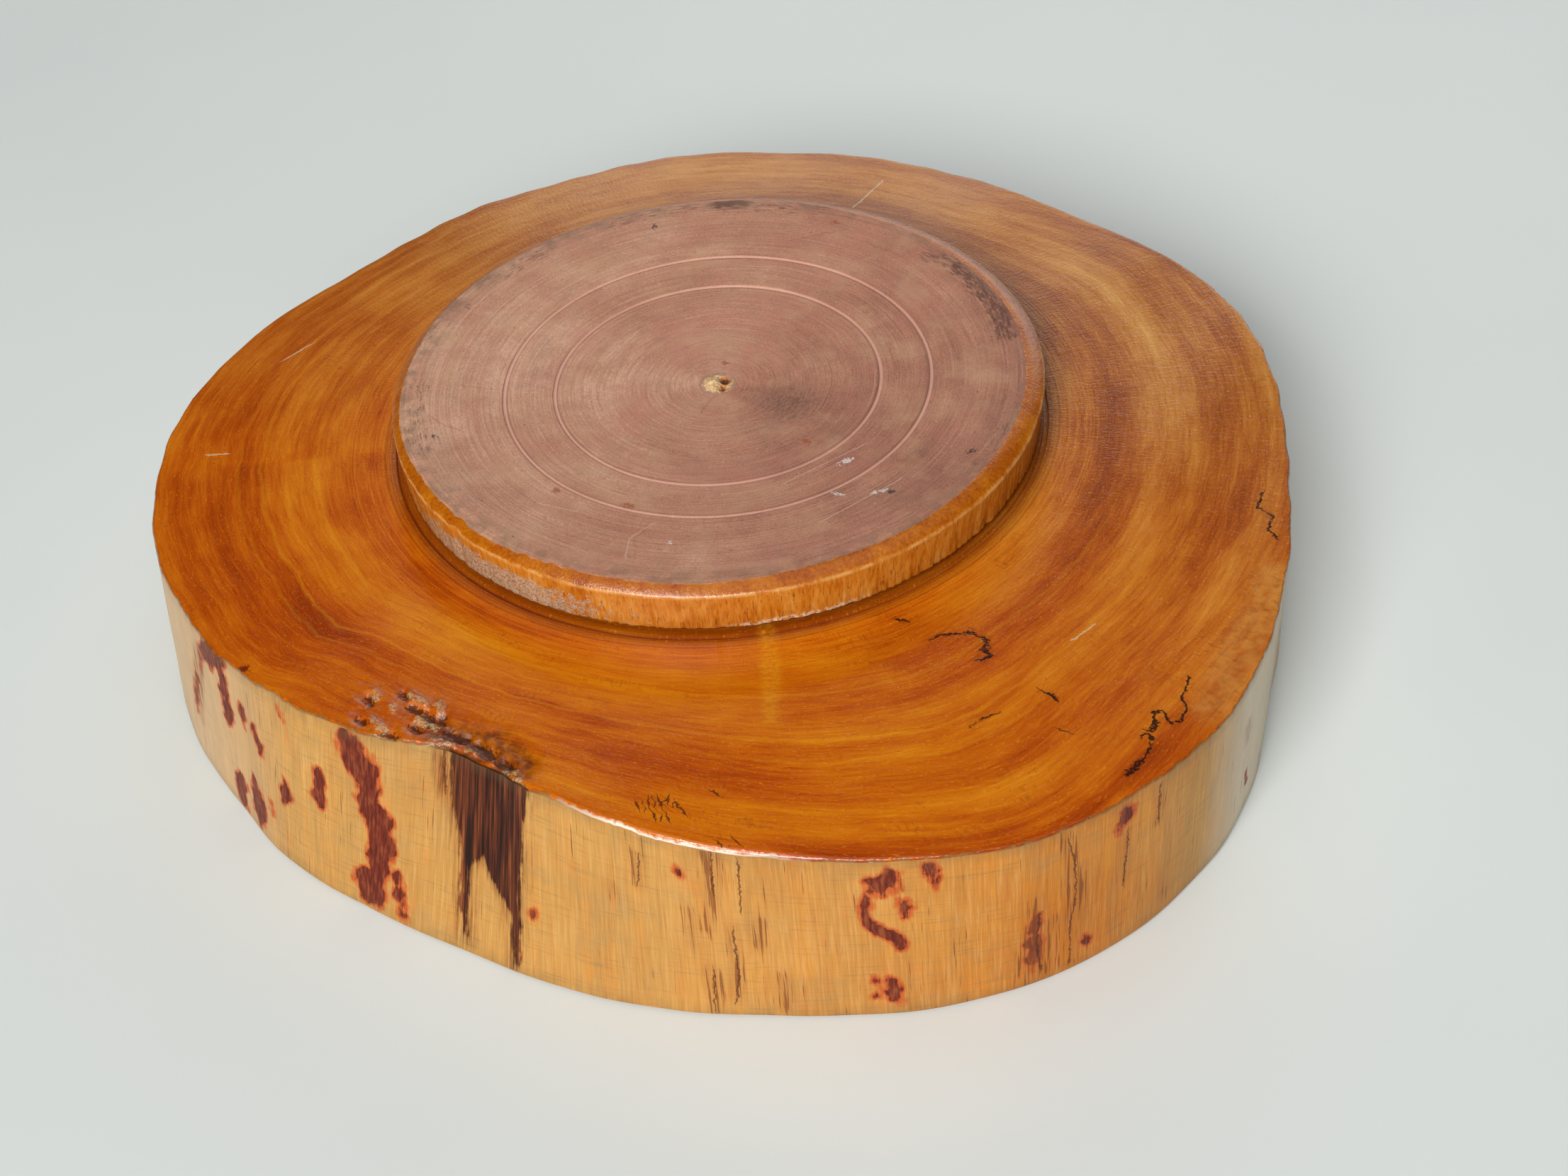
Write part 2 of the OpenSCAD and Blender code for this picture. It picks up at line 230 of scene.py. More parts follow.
# Everything below is in plan, as (x, y, half width).
SPALT_LINES = [
    [(61, -127), (63, -125), (67, -125), (72, -126), (73, -124), (76, -127), (78, -128),
     (79, -132), (76, -134), (79, -136), (79, -138), (75, -139)],
    [(114, -197), (118, -193), (122, -188), (124, -182), (123, -179), (126, -178), (126, -171),
     (129, -170), (130, -174), (131, -177), (134, -176), (137, -170), (136, -166), (138, -162),
     (140, -157)],
    [(123, -179), (121, -181)],
    [(93, -155), (95, -157), (97, -160)],
    [(69, -169), (73, -166), (78, -164)],
    [(51, -115), (54, -117)],
    [(181, -69), (178, -76), (182, -82), (179, -88), (181, -93)],
]
TICKS = [
    [(-38, -188), (-37, -191)], [(-34, -187), (-34, -190)], [(-31, -187), (-30, -191)],
    [(-28, -187), (-28, -189)], [(-26, -188), (-25, -192)], [(-33, -193), (-32, -196)],
    [(-29, -194), (-28, -197)], [(-24, -192), (-23, -195)], [(-14, -208), (-12, -211)],
    [(-9, -207), (-7, -210)], [(-14, -186), (-12, -188)], [(96, -174), (99, -176)],
]
BLOTS = [
    [(114, -197, 0.9), (118, -193, 1.1)],
    [(125, -178, 0.8), (126, -176, 0.5)],
    [(78, -129, 0.6), (79, -131, 0.6)],
    [(51, -115, 0.5), (53, -116, 0.7)],
]
PALE_TEARS = [
    [(-121, -125, 0.6), (-120, -128, 0.8)], [(-115, -133, 0.8), (-114, -135, 0.6)],
    [(-109, -128, 0.8), (-107, -131, 1.3), (-104, -133, 0.6)], [(-106, -140, 1.4), (-104, -143, 1.1)],
    [(-100, -134, 0.8), (-99, -138, 1)], [(-102, -143, 0.6), (-101, -145, 0.8)],
    [(-121, -138, 0.6), (-120, -140, 0.8)], [(-119, -142, 0.8), (-117, -144, 0.6)],
    [(-102, -150, 0.6), (-99, -151, 0.6)], [(-97, -152, 0.8), (-95, -153, 0.5)],
    [(-90, -156, 0.9), (-88, -157, 0.6)], [(-79, -167, 0.8), (-76, -168, 0.9)],
    [(-75, -171, 1), (-74, -173, 0.7)],
]
# Painted shade in the torn pits, which the mesh also sinks.
SHADED_PITS = [
    [(-123, -127, 1), (-122, -130, 0.8)], [(-112, -127, 0.9), (-110, -129, 0.8)],
    [(-109, -134, 1.2), (-106, -136, 1)], [(-104, -138, 1.2), (-102, -140, 1)],
    [(-108, -143, 1.1), (-106, -145, 0.8)], [(-99, -140, 0.9), (-98, -142, 0.8)],
    [(-117, -145, 0.9), (-114, -147, 0.8)], [(-126, -137, 0.7), (-124, -139, 0.7)],
    [(-97, -147, 1.2), (-91, -151, 1.4)], [(-88, -154, 1.4), (-83, -159, 1.6)],
    [(-80, -163, 1.2), (-77, -166, 1.2)],
]
KNOT = (-164, -108, 1.8)
SCORCH = [(-101, -144, 2), (-94, -150, 4.5), (-85, -156, 6.5), (-76, -165, 5)]
PALE_RAY = [(8, -113, 1.4), (8, -132, 1.8), (6, -157, 1)]
RIM_WEAR = [(176, -112, 2), (169, -130, 3.5), (158, -148, 4), (145, -171, 3)]
PALE_SCRATCHES = [
    [(107, -133), (114, -127)],
    [(60, 128), (72, 143)],
    [(-160, 62), (-150, 71)],
    [(-184, 9), (-178, 9)],
]
WALL_VEINS = [
    [(-66.9, 63), (-66.2, 50), (-66.1, 34), (-66.6, 22), (-66.5, 4)],
    [(-69.2, 33), (-69.5, 20), (-69, 6)],
    [(-94.4, 67), (-94.5, 50)],
    [(-95.1, 19), (-95.3, 2)],
    [(-93.2, 36), (-93, 18), (-93.4, 6)],
    [(-100.9, 58), (-101.1, 48)],
    [(-92.2, 64), (-92.3, 44)],
    [(-61.2, 50), (-61.5, 28)],
    [(-58.2, 64), (-58.2, 48)],
    [(-122.4, 66), (-122, 53)],
]

# ------------------------------------------------------------------ marks on the base's face, in plan

FACE_SMUDGES = [
    (0.9, [(19, -13, 3), (25, -18, 4)]),
    (0.5, [(14, -26, 4), (28, -8, 3)]),
    (0.45, [(58, -74, 3), (64, -78, 2)]),
    (0.35, [(-100, -30, 3), (-97, -38, 2)]),
    (0.3, [(-88, -46, 3), (-82, -52, 2)]),
]
RIM_GRIME = [
    (1.0, [(104, 8, 2), (103, 22, 2.6), (98, 38, 2), (92, 50, 1.5)]),
    (0.7, [(82, 62, 2), (90, 56, 3)]),
    (0.9, [(8, 108.5, 1.4), (16, 107.5, 1.2)]),
    (0.5, [(-35, 103, 2.5), (0, 108.5, 1.6), (45, 99, 2)]),
    (0.5, [(-80, 71, 2), (-58, 90, 2)]),
    (0.55, [(-106, 12, 1.6), (-107, -12, 2.2), (-104, -26, 1.6)]),
    (0.4, [(-104, 34, 2), (-100, 46, 1.5)]),
    (0.4, [(82, -66, 1.5), (100, -40, 1.2)]),
]
FACE_REDS = [
    (0.8, [(-10, 24, 10), (20, 30, 16)]),
    (0.7, [(40, 66, 4), (44, 70, 4)]),
    (0.4, [(50, 80, 18), (70, 55, 14)]),
    (0.5, [(-28, -75, 4), (-30, -90, 5)]),
    (0.6, [(4, -12, 3), (8, 2, 3)]),
]
FACE_CRACKS = [
    [(-90, 10), (-80, 7)],
    [(-104, -4), (-98, -11), (-91, -16)],
    [(-1, -6), (-5, -12), (-7, -17)],
    [(-33, -95), (-32, -84), (-28, -77)],
    [(32, 81), (54, 84)],
    [(110, -29), (104, -33)],
    [(-19, -80), (-12, -84)],
    [(60, 40), (66, 30)],
]
FACE_SCRATCHES = [
    [(30, -84), (58, -66)],
    [(-36, -94), (-34, -83), (-26, -76)],
    [(-64, -60), (-52, -66)],
    [(20, -60), (48, -44)],
    [(-40, 20), (-28, 34)],
]
WHITE_FLECKS = [
    [(38, -54, 0.5), (41, -52, 0.9), (43, -51, 0.2)],
    [(35, -69, 0.2), (38, -71, 0.3)],
    [(48, -72, 0.3), (53, -71, 0.3)],
    [(-20, -87, 0.2), (-21, -88, 0.3)],
]
ORANGE_SPOTS = [
    [(-58, -54, 0.9), (-58.5, -53, 0.7)],
    [(-35, -64.5, 0.9), (-33, -65.5, 0.7)],
    [(49, 89, 0.8), (50, 88.5, 0.8)],
    [(28, -38, 0.7), (29, -39, 0.6)],
    [(3, 12, 0.6), (4, 11, 0.5)],
]
BLACK_FLECKS = [
    [(54, -72, 0.8), (55, -72.5, 0.6)],
    [(82, -56, 0.4), (85, -55, 0.5)],
    [(-89, 56, 0.5), (-88, 58, 0.4)],
    [(-18, 96, 0.4), (-18, 99, 0.3)],
    [(-100, -18, 0.6), (-99, -20, 0.5)],
]

# ------------------------------------------------------------------ small maths


def loop_curve(values, step, angles):
    """A smooth closed curve through values that stand step degrees apart from -180."""
    v = np.asarray(values, float)
    place = (np.asarray(angles, float) + 180) / step
    i = np.floor(place).astype(int)
    t = place - i
    n = len(v)
    a, b, c, d = v[(i - 1) % n], v[i % n], v[(i + 1) % n], v[(i + 2) % n]
    return b + t * (c - a + t * (2 * a - 5 * b + 4 * c - d + t * (3 * (b - c) + d - a))) / 2


def round_value(angles, table):
    """A value that changes evenly between the (angle, value) pairs of a table."""
    return np.interp(angles, *zip(*table))


def bell(value, middle, width):
    """1 at middle, falling smoothly to 0 on both sides."""
    return np.exp(-np.square((value - middle) / width))


def mound(x, y, middle_x, middle_y, spread, height):
    """A round bump on the plan, spread being the square of its radius."""
    return height * np.exp(-(np.square(x - middle_x) + np.square(y - middle_y)) / spread)


def wobble(angles, seed, waves, height):
    """Periodic roughness round a circle: a sum of waves with seeded phases, about +-height."""
    draw = np.random.default_rng(seed)
    total = np.zeros_like(angles, dtype=float)
    for k in waves:
        total += draw.normal() * np.cos(np.radians(angles) * k + draw.uniform(0, math.tau))
    return height * total / math.sqrt(len(waves))


def stroke_distance(u, v, stroke):
    """Distance from points (u, v) to a stroke of (u, v, half width) points, negative inside it."""
    nearest = np.full(np.shape(u), 1e3)
    for (u0, v0, w0), (u1, v1, w1) in zip(stroke, stroke[1:]):
        du, dv = u1 - u0, v1 - v0
        t = np.clip(((u - u0) * du + (v - v0) * dv) / (du * du + dv * dv), 0, 1)
        reach = w0 + t * (w1 - w0)
        nearest = np.minimum(nearest, np.hypot(u - u0 - t * du, v - v0 - t * dv) - reach)
    return nearest


def nearest_stroke(u, v, strokes, scale=1.0):
    """Distance to the nearest of several strokes; scale turns their first number into mm."""
    nearest = np.full(np.shape(u), 1e3)
    for stroke in strokes:
        wide = [(a * scale, b, w) for a, b, w in stroke]
        nearest = np.minimum(nearest, stroke_distance(u * scale, v, wide))
    return nearest


def thin_lines(u, v, lines, scale=1.0):
    """For lines finer than the mesh: signed distance to the nearest, which crosses 0 on the line even
    between vertices, and the plain distance, which says how far the line reaches."""
    near = np.full(np.shape(u), 1e3)
    side = near.copy()
    for line in lines:
        for (u0, v0), (u1, v1) in zip(line, line[1:]):
            du, dv, pu, pv = (u1 - u0) * scale, v1 - v0, (u - u0) * scale, v - v0
            t = np.clip((pu * du + pv * dv) / (du * du + dv * dv), 0, 1)
            away = np.hypot(pu - t * du, pv - t * dv)
            closer = away < near
            near = np.where(closer, away, near)
            side = np.where(closer, np.where(du * pv < dv * pu, -away, away), side)
    return np.clip(side, -20, 20), near


def line_marks(u, v, scale=1.0, **lines):
    """The two numbers of thin_lines for each named set of lines, as the marks that Shader.thin reads."""
    marks = {}
    for name, group in lines.items():
        marks[name + "_side"], marks[name + "_near"] = thin_lines(u, v, group, scale)
    return marks


def soft_cover(distance, fade):
    """1 inside a shape, falling to 0 over about fade outside it."""
    return np.exp(-np.square(np.maximum(distance, 0) / fade))


# ------------------------------------------------------------------ meshes on a polar grid


class Rows:
    """Rings of a polar mesh, each with a radius, a height and a mark for every angle."""

    def __init__(self, angles):
        self.even = np.ones_like(angles)
        self.rows = []

    def add(self, radius, height, mark):
        self.rows.append((radius * self.even, height * self.even, mark * self.even))

    def add_profile(self, profile, mark):
        for radius, height in profile:
            self.add(radius, height, mark)

    def arrays(self):
        return [np.array(part) for part in zip(*self.rows)]


def on_plan(radius, degrees):
    """x and y of polar points."""
    return radius * np.cos(np.radians(degrees)), radius * np.sin(np.radians(degrees))


def polar_mesh(name, rows, ring_closed):
    """rows[k, s] is a point in mm. Each row is a closed ring; the rows join up too if ring_closed,
    otherwise the first and last rows are single points."""
    count, stations = rows.shape[:2]
    index = np.arange(count * stations).reshape(count, stations)
    lower = index if ring_closed else index[:-1]
    upper = np.roll(index, -1, axis=0) if ring_closed else index[1:]
    quads = np.stack([lower, np.roll(lower, -1, axis=1), np.roll(upper, -1, axis=1), upper], axis=-1)
    points = rows.reshape(-1, 3)
    faces = quads.reshape(-1, 4).tolist()
    if not ring_closed:
        first, last = int(index[0, 0]), int(index[-1, 0])
        faces = [pole_face(f, stations, count, first, last) for f in faces]
    mesh = bpy.data.meshes.new(name)
    mesh.from_pydata((points * MM).tolist(), [], faces)
    return mesh


def pole_face(face, stations, count, first, last):
    """A quad that touches an end row becomes a triangle at that row's single point."""
    a, b, c, d = face
    if a < stations:
        return [first, c, d]
    if d >= (count - 1) * stations:
        return [a, b, last]
    return face


def add_values(mesh, name, values):
    """Stores one number a vertex, for the materials to read."""
    layer = mesh.attributes.new(name, "FLOAT", "POINT")
    layer.data.foreach_set("value", np.ascontiguousarray(values, np.float32).ravel())


def add_ring_frame(mesh, angle, across):
    """Stores coordinates that run round the rings and, in mm, across them, with no seam."""
    layer = mesh.attributes.new("ring_frame", "FLOAT_VECTOR", "POINT")
    turn = np.radians(angle)
    points = np.stack([100 * np.cos(turn), 100 * np.sin(turn), across], -1)
    layer.data.foreach_set("vector", np.ascontiguousarray(points, np.float32).ravel())


def finish_mesh(mesh, name, sharp_degrees=42):
    """Drops the unused pole points, smooths the faces and links the object."""
    bm = bmesh.new()
    bm.from_mesh(mesh)
    bmesh.ops.delete(bm, geom=[v for v in bm.verts if not v.link_faces], context="VERTS")
    bmesh.ops.recalc_face_normals(bm, faces=bm.faces)
    bm.to_mesh(mesh)
    bm.free()
    mesh.shade_smooth()
    mesh.set_sharp_from_angle(angle=math.radians(sharp_degrees))
    piece = bpy.data.objects.new(name, mesh)
    bpy.context.scene.collection.objects.link(piece)
    return piece


def stations_by_density(parts, total):
    """Angles round the circle, spread by density; parts is a list of (start, end, density)."""
    grid = np.linspace(-180, 180, 10 * 360 + 1)
    density = np.ones_like(grid)
    for start, end, dense in parts:
        density[(grid >= start) & (grid <= end)] = dense
    reach = 40
    padded = np.r_[density[-reach - 1:-1], density, density[1:reach + 1]]
    density = np.convolve(padded, np.ones(2 * reach + 1) / (2 * reach + 1), "valid")
    length = np.concatenate([[0], np.cumsum((density[1:] + density[:-1]) / 2)])
    return np.interp(np.arange(total) / total * length[-1], length, grid)


# ------------------------------------------------------------------ the tray

TRAY_STATIONS = 720
DENSE_PARTS = [(-168, 16, 2), (-144, -108, 3)]

# The mark "past_edge" is in mm: below 0 on the top, above 0 down the wall. Elsewhere it is one of these.
RECESS = -200          # bare wood under the base disc
COVERED = -120         # varnished wood around the turned groove
BARE_BELOW = -150      # between those two
SERVING = 200

POCKET_FLOOR = TRAY_TOP - POCKET_DEPTH
RECESS_PROFILE = [
    (0, INSERT_FLOOR), (INSERT_RADIUS, INSERT_FLOOR), (INSERT_RADIUS, TRAY_TOP), (30, TRAY_TOP),
    (POCKET_IN, TRAY_TOP), (POCKET_IN, POCKET_FLOOR), (POCKET_OUT, POCKET_FLOOR), (POCKET_OUT, TRAY_TOP),
    (95, TRAY_TOP),
]
GROOVE_PROFILE = [
    (108, TRAY_TOP), (GROOVE_IN, TRAY_TOP), (GROOVE_IN + 0.3, TRAY_TOP - 0.8 * GROOVE_DEPTH),
    ((GROOVE_IN + GROOVE_OUT) / 2, TRAY_TOP - GROOVE_DEPTH),
    (GROOVE_OUT - 0.4, TRAY_TOP - 0.8 * GROOVE_DEPTH), (GROOVE_OUT, TRAY_TOP - 0.1),
]
SMALL_PITS = 90
WALL_OFFSET = 200      # keeps the wall's part of ring_frame apart from the top's
RING_MM = 90           # about the width of the top, so that its part of ring_frame is in mm too


def edge_rounding(angles):
    """Radius of the rounded upper edge: worn wide in the hollow and in front, small elsewhere."""
    hollow = 1.3 * bell(angles, -117, 8)
    front = 1.1 * bell(angles, -93, 13)
    return 0.9 + hollow + front + wobble(angles, 3, range(5, 30, 3), 0.1)


def pit_depth(x, y):
    """Torn grain: pits under the painted pit shade, raised fibres on the pale tears, in mm downwards."""
    pits = soft_cover(nearest_stroke(x, y, SHADED_PITS), 0.9)
    fibres = soft_cover(nearest_stroke(x, y, PALE_TEARS), 0.7)
    draw = np.random.default_rng(11)
    small = np.zeros_like(x)
    first, last = -128, -72
    for _ in range(SMALL_PITS):
        px, py = draw.uniform(first, last), draw.normal(0, 5)
        py += -127 - (px - first) * 0.76
        size, deep = draw.uniform(0.6, 1.3), draw.uniform(0.2, 0.7)
        small = np.maximum(small, mound(x, y, px, py, size ** 2, deep))
    sunk = 0.8 * soft_cover(stroke_distance(x, y, SCORCH), 3)
    return 1.2 * pits + small + sunk - 0.6 * fibres


def top_height(x, y, share):
    """The sanded top isn't quite flat: slow hand-worked waves, more towards the rim."""
    slow = np.sin(x / 31 + 0.7) * np.sin(y / 27 + 0.2) + 0.5 * np.sin(x / 13 - y / 17)
    return 0.35 * np.clip(share, 0, 1) * slow


def tray_rows(angles):
    """Rows of (radius, height, past_edge) from the insert hole to the serving face's middle."""
    upper = loop_curve(BASE_SIDE_EDGE, OUTLINE_STEP, angles) + wobble(angles, 5, range(14, 60, 3), 0.35)
    lower = loop_curve(FACE_EDGE, OUTLINE_STEP, angles) + wobble(angles, 6, range(12, 50, 3), 0.25) - 0.5
    rows = Rows(angles)
    rows.add_profile(RECESS_PROFILE, RECESS)
    rows.add_profile(GROOVE_PROFILE, COVERED)
    bend = edge_rounding(angles)
    add_top_rows(rows, upper, bend)
    add_wall_rows(rows, upper, lower, bend)
    for share in (0.985, 0.9, 0.7, 0.5, 0.25):
        rows.add(share * (lower - LOWER_BEND), 0, SERVING)
    rows.add(0, 0, SERVING)
    return rows.arrays(), upper


def add_top_rows(rows, upper, bend):
    """The varnished top, closer together towards the rim, and its rounded edge."""
    flat_end = upper - bend
    for share in np.concatenate([np.linspace(0.006, 0.6, 20), np.linspace(0.6, 1, 30)[1:]]):
        radius = GROOVE_OUT + share * (flat_end - GROOVE_OUT)
        rows.add(radius, TRAY_TOP, radius - upper)
    for turn in np.radians([15, 30, 45, 60, 75]):
        height = TRAY_TOP - bend * (1 - math.cos(turn))
        rows.add(flat_end + bend * math.sin(turn), height, bend * (turn / 1.57 - 1) * 0.8)


def add_wall_rows(rows, upper, lower, bend):
    """The peeled wall, which leans out or in from the upper outline to the lower one."""
    wall_top = TRAY_TOP - bend
    for f in np.linspace(0, 1, 28):
        height = wall_top + f * (LOWER_BEND - wall_top)
        rows.add(lower + (upper - lower) * height / TRAY_TOP, height, TRAY_TOP - height)
    for turn in np.radians([30, 60, 90]):
        radius = lower - LOWER_BEND * (1 - math.cos(turn))
        rows.add(radius, LOWER_BEND * (1 - math.sin(turn)), TRAY_TOP + 1)


def tray_share(radius, upper):
    """0 at the turned groove, 1 at the rim."""
    return (radius - GROOVE_OUT) / (upper - GROOVE_OUT)


def wall_roughness(angles, height):
    """Shallow ribs and dents down the peeled side, in mm."""
    ribs = wobble(angles, 8, range(20, 120, 7), 0.14)
    dents = np.sin(np.radians(angles) * 23 + height / 9) * np.sin(height / 14 + np.radians(angles) * 5)
    return ribs + 0.12 * dents


def make_tray():
    """The slice of trunk, in one closed mesh from the insert hole round to the face."""
    angles = stations_by_density(DENSE_PARTS, TRAY_STATIONS)
    (radius, height, past), upper = tray_rows(angles)
    grid_angle = np.broadcast_to(angles, radius.shape)
    share = tray_share(radius, upper)
    on_wall = (past > -0.5) & (past < SERVING / 2) & (height > LOWER_BEND + 0.1)
    radius = radius - np.where(on_wall, np.abs(wall_roughness(grid_angle, height)), 0)
    x, y = on_plan(radius, grid_angle)
    on_top = (past > BARE_BELOW) & (past < 0)
    z = height + np.where(on_top, top_height(x, y, share * 1.5) - pit_depth(x, y), 0)
    mesh = polar_mesh("tray_slice", np.stack([x, y, z], -1), False)
    ring = ring_coordinate(grid_angle, radius, share)
    add_ring_frame(mesh, grid_angle, np.where(past > 0, WALL_OFFSET + past, ring * RING_MM))
    for name, values in tray_marks(x, y, height, grid_angle, radius, share, past).items():
        add_values(mesh, name, values)
    return finish_mesh(mesh, "tray_slice")


def band_sum(angle, share, bands):
    """Sum of soft bands, each with its strength."""
    total = np.zeros_like(angle)
    for strength, stroke in bands:
        flat = [(a / BAND_DEGREES, s, w) for a, s, w in stroke]
        total += strength * soft_cover(stroke_distance(angle / BAND_DEGREES, share, flat), 0.05)
    return total


def patch_distance(angle, height):
    """Distance to the bark-brown patch in the hollow, negative inside."""
    left = (np.interp(height, PATCH_HEIGHTS, PATCH_LEFT) - angle) * WALL_MM_PER_DEGREE
    right = (angle - np.interp(height, PATCH_HEIGHTS, PATCH_RIGHT)) * WALL_MM_PER_DEGREE
    below = np.interp(angle, PATCH_FOOT_ANGLES, PATCH_FOOT) - height
    body = np.maximum(np.maximum(left, right), below)
    return np.minimum(body, nearest_stroke(angle, height, PATCH_LEGS, WALL_MM_PER_DEGREE))


def ring_coordinate(angle, radius, share):
    """Growth-ring coordinate: follows the rim on the left and front, rounder on the right."""
    waved = share - round_value(angle, RING_WAVE) * np.clip(share * 2, 0, 1)
    rounder = round_value(angle, ROUND_RINGS)
    return waved * (1 - rounder) + rounder * (radius - GROOVE_OUT) / 95


def tray_marks(x, y, height, angle, radius, share, past):
    """The numbers that the tray's material reads."""
    return {
        "past_edge": past,
        "radius": radius,
        "ring": ring_coordinate(angle, radius, share),
        "warm": round_value(angle, WARMTH_ROUND_TOP),
        "dark_band": band_sum(angle, share, DARK_BANDS),
        "pale_band": band_sum(angle, share, PALE_BANDS),
        "stain": nearest_stroke(angle, height, RED_STAINS, WALL_MM_PER_DEGREE),
        "patch": patch_distance(angle, height),
        "streak": soft_cover(nearest_stroke(angle, height, FIBRE_STREAKS, WALL_MM_PER_DEGREE), 2.0),
        **line_marks(x, y, spalt=SPALT_LINES, scratch=PALE_SCRATCHES, tick=TICKS),
        **line_marks(angle, height, WALL_MM_PER_DEGREE, vein=WALL_VEINS),
        "blot": nearest_stroke(x, y, BLOTS),
        "torn": soft_cover(nearest_stroke(x, y, PALE_TEARS + SHADED_PITS), 4),
        "pale_tear": nearest_stroke(x, y, PALE_TEARS),
        "pit_shade": nearest_stroke(x, y, SHADED_PITS),
        "scorch": soft_cover(stroke_distance(x, y, SCORCH), 4),
        "ray": soft_cover(stroke_distance(x, y, PALE_RAY), 1.6),
        "rim_wear": soft_cover(stroke_distance(x, y, RIM_WEAR), 4),
        "edge_highlight": round_value(angle, EDGE_HIGHLIGHT),
        "knot": np.hypot(x - KNOT[0], y - KNOT[1]) - KNOT[2],
        "amber": round_value(angle, AMBER_AND_SHEEN_ROUND_WALL),
    }


# ------------------------------------------------------------------ the base disc

DISC_STATIONS = 600

# The mark "out" is mm out from the raw face's edge, then 0 to 5 over the bevel and 5 to 20 down the side.
# Elsewhere it is one of these.
DISC_BORE = -500
GAP_SIDE = 200
GAP_BEGINS = 21

# Share of the bevel's drop against the share of its width.
BEVEL_CURVE = [(0, 0), (0.12, 0.1), (0.3, 0.22), (0.5, 0.38), (0.7, 0.56), (0.86, 0.76), (0.96, 0.92), (1, 1)]


def dish_height(radius):
    """Height of the hollowed face: a shallow sphere inside the flat rim."""
    sphere = (DISH_RADIUS ** 2 + DISH_DEPTH ** 2) / (2 * DISH_DEPTH)
    inside = np.minimum(radius, DISH_RADIUS)
    return DISC_HIGH - DISH_DEPTH + sphere - np.sqrt(sphere ** 2 - np.square(inside))


def scribe_depth(radius):
    """Depth of the round-bottomed scribed circles."""
    depth = np.zeros_like(radius)
    for circle in SCRIBES:
        depth += np.sqrt(np.maximum(SCRIBE_HALF ** 2 - np.square(radius - circle), 0))
    return depth


def bevel_height(radius):
    """Height of the rim and bevel: flat as far as RAW_RADIUS, then rounding over to the side."""
    across = (radius - RAW_RADIUS) / (DISC_EDGE - RAW_RADIUS)
    down = np.interp(across, *zip(*BEVEL_CURVE))
    return DISC_HIGH - down * (DISC_HIGH - DISC_EDGE_HEIGHT)


def face_radii():
    """Row radii over the face, closer together in the scribed circles."""
    plain = np.linspace(PLUG_RADIUS, DISH_RADIUS, 52)
    near = [c + d for c in SCRIBES for d in (-1.1, -0.8, -0.65, -0.4, 0, 0.4, 0.65, 0.8, 1.1)]
    keep = [r for r in plain if min(abs(r - c) for c in SCRIBES) > 1.4]
    return sorted(keep + near)


def disc_rows(angles):
    """Rows of (radius, height, out), a closed loop round the disc's section."""
    rows = Rows(angles)
    bore = [(BUSHING_RADIUS, DISC_LOW), (BUSHING_RADIUS, BUSHING_TOP), (PLUG_RADIUS, BUSHING_TOP)]
    rows.add_profile(bore, DISC_BORE)
    for radius in face_radii():
        height = dish_height(np.array(radius)) - scribe_depth(np.array(radius))
        rows.add(radius, height, radius - RAW_RADIUS)
    left_front = bell(angles, -140, 26)
    chips = np.abs(wobble(angles, 21, range(18, 90, 5), 0.5)) * (0.35 + 1.6 * left_front)
    add_bevel_rows(rows, angles, chips, left_front)
    pocket_top = DISC_LOW + POCKET_DEPTH
    rows.add_profile([(100, DISC_LOW), (POCKET_OUT, DISC_LOW), (POCKET_OUT, pocket_top),
                      (POCKET_IN, pocket_top), (POCKET_IN, DISC_LOW), (30, DISC_LOW)], GAP_SIDE)
    return rows.arrays()


def add_bevel_rows(rows, angles, chips, left_front):
    """The raw face's chipped edge, which stands off centre, the bevel, and the side's torn fibres."""
    off_centre = -1.9 * np.cos(np.radians(angles))
    raw_edge = RAW_RADIUS + off_centre + wobble(angles, 22, range(3, 12), 0.3) - 0.6 * chips
    for inward in (1.6, 0.35, 0):
        rows.add(raw_edge - inward, bevel_height(raw_edge - inward), -inward)
    edge = DISC_EDGE - 0.3 * np.abs(wobble(angles, 23, range(4, 40, 3), 0.5)) - 0.5 * chips * left_front
    for across, _ in BEVEL_CURVE[1:-1]:
        radius = raw_edge + across * (edge - raw_edge)
        rows.add(radius, bevel_height(radius), across * 5)
    foot = DISC_FOOT - np.abs(wobble(angles, 24, range(30, 150, 7), 0.35))
    for f in np.linspace(0, 1, 17):
        height = DISC_EDGE_HEIGHT + f * (DISC_LOW + 0.5 - DISC_EDGE_HEIGHT)
        torn = np.abs(wobble(angles, 25 + int(f * 5), range(40, 220, 9), 0.12)) * (0.3 + f)
        rows.add(edge + f * (foot - edge) - torn, height, 5 + f * 15)
    ragged = np.abs(wobble(angles, 40, range(30, 180, 8), 0.2))
    rows.add(foot - 0.5 - ragged, DISC_LOW, GAP_BEGINS)


def make_disc():
    """The base disc: raw dished face, varnished bevel and side, race pocket below."""
    angles = stations_by_density([(-175, 0, 1.6)], DISC_STATIONS)
    radius, height, out = disc_rows(angles)
    grid_angle = np.broadcast_to(angles, radius.shape)
    x, y = on_plan(radius, grid_angle)
    mesh = polar_mesh("base_slice", np.stack([x, y, height], -1), True)
    add_ring_frame(mesh, grid_angle, radius)
    for name, values in disc_marks(x, y, radius, grid_angle, out).items():
        add_values(mesh, name, values)
    return finish_mesh(mesh, "base_slice", 50)


def weighted_cover(x, y, marks, fade):
    """Sum of soft strokes, each with its strength."""
    total = np.zeros_like(x)
    for strength, stroke in marks:
        total += strength * soft_cover(stroke_distance(x, y, stroke), fade)
    return total


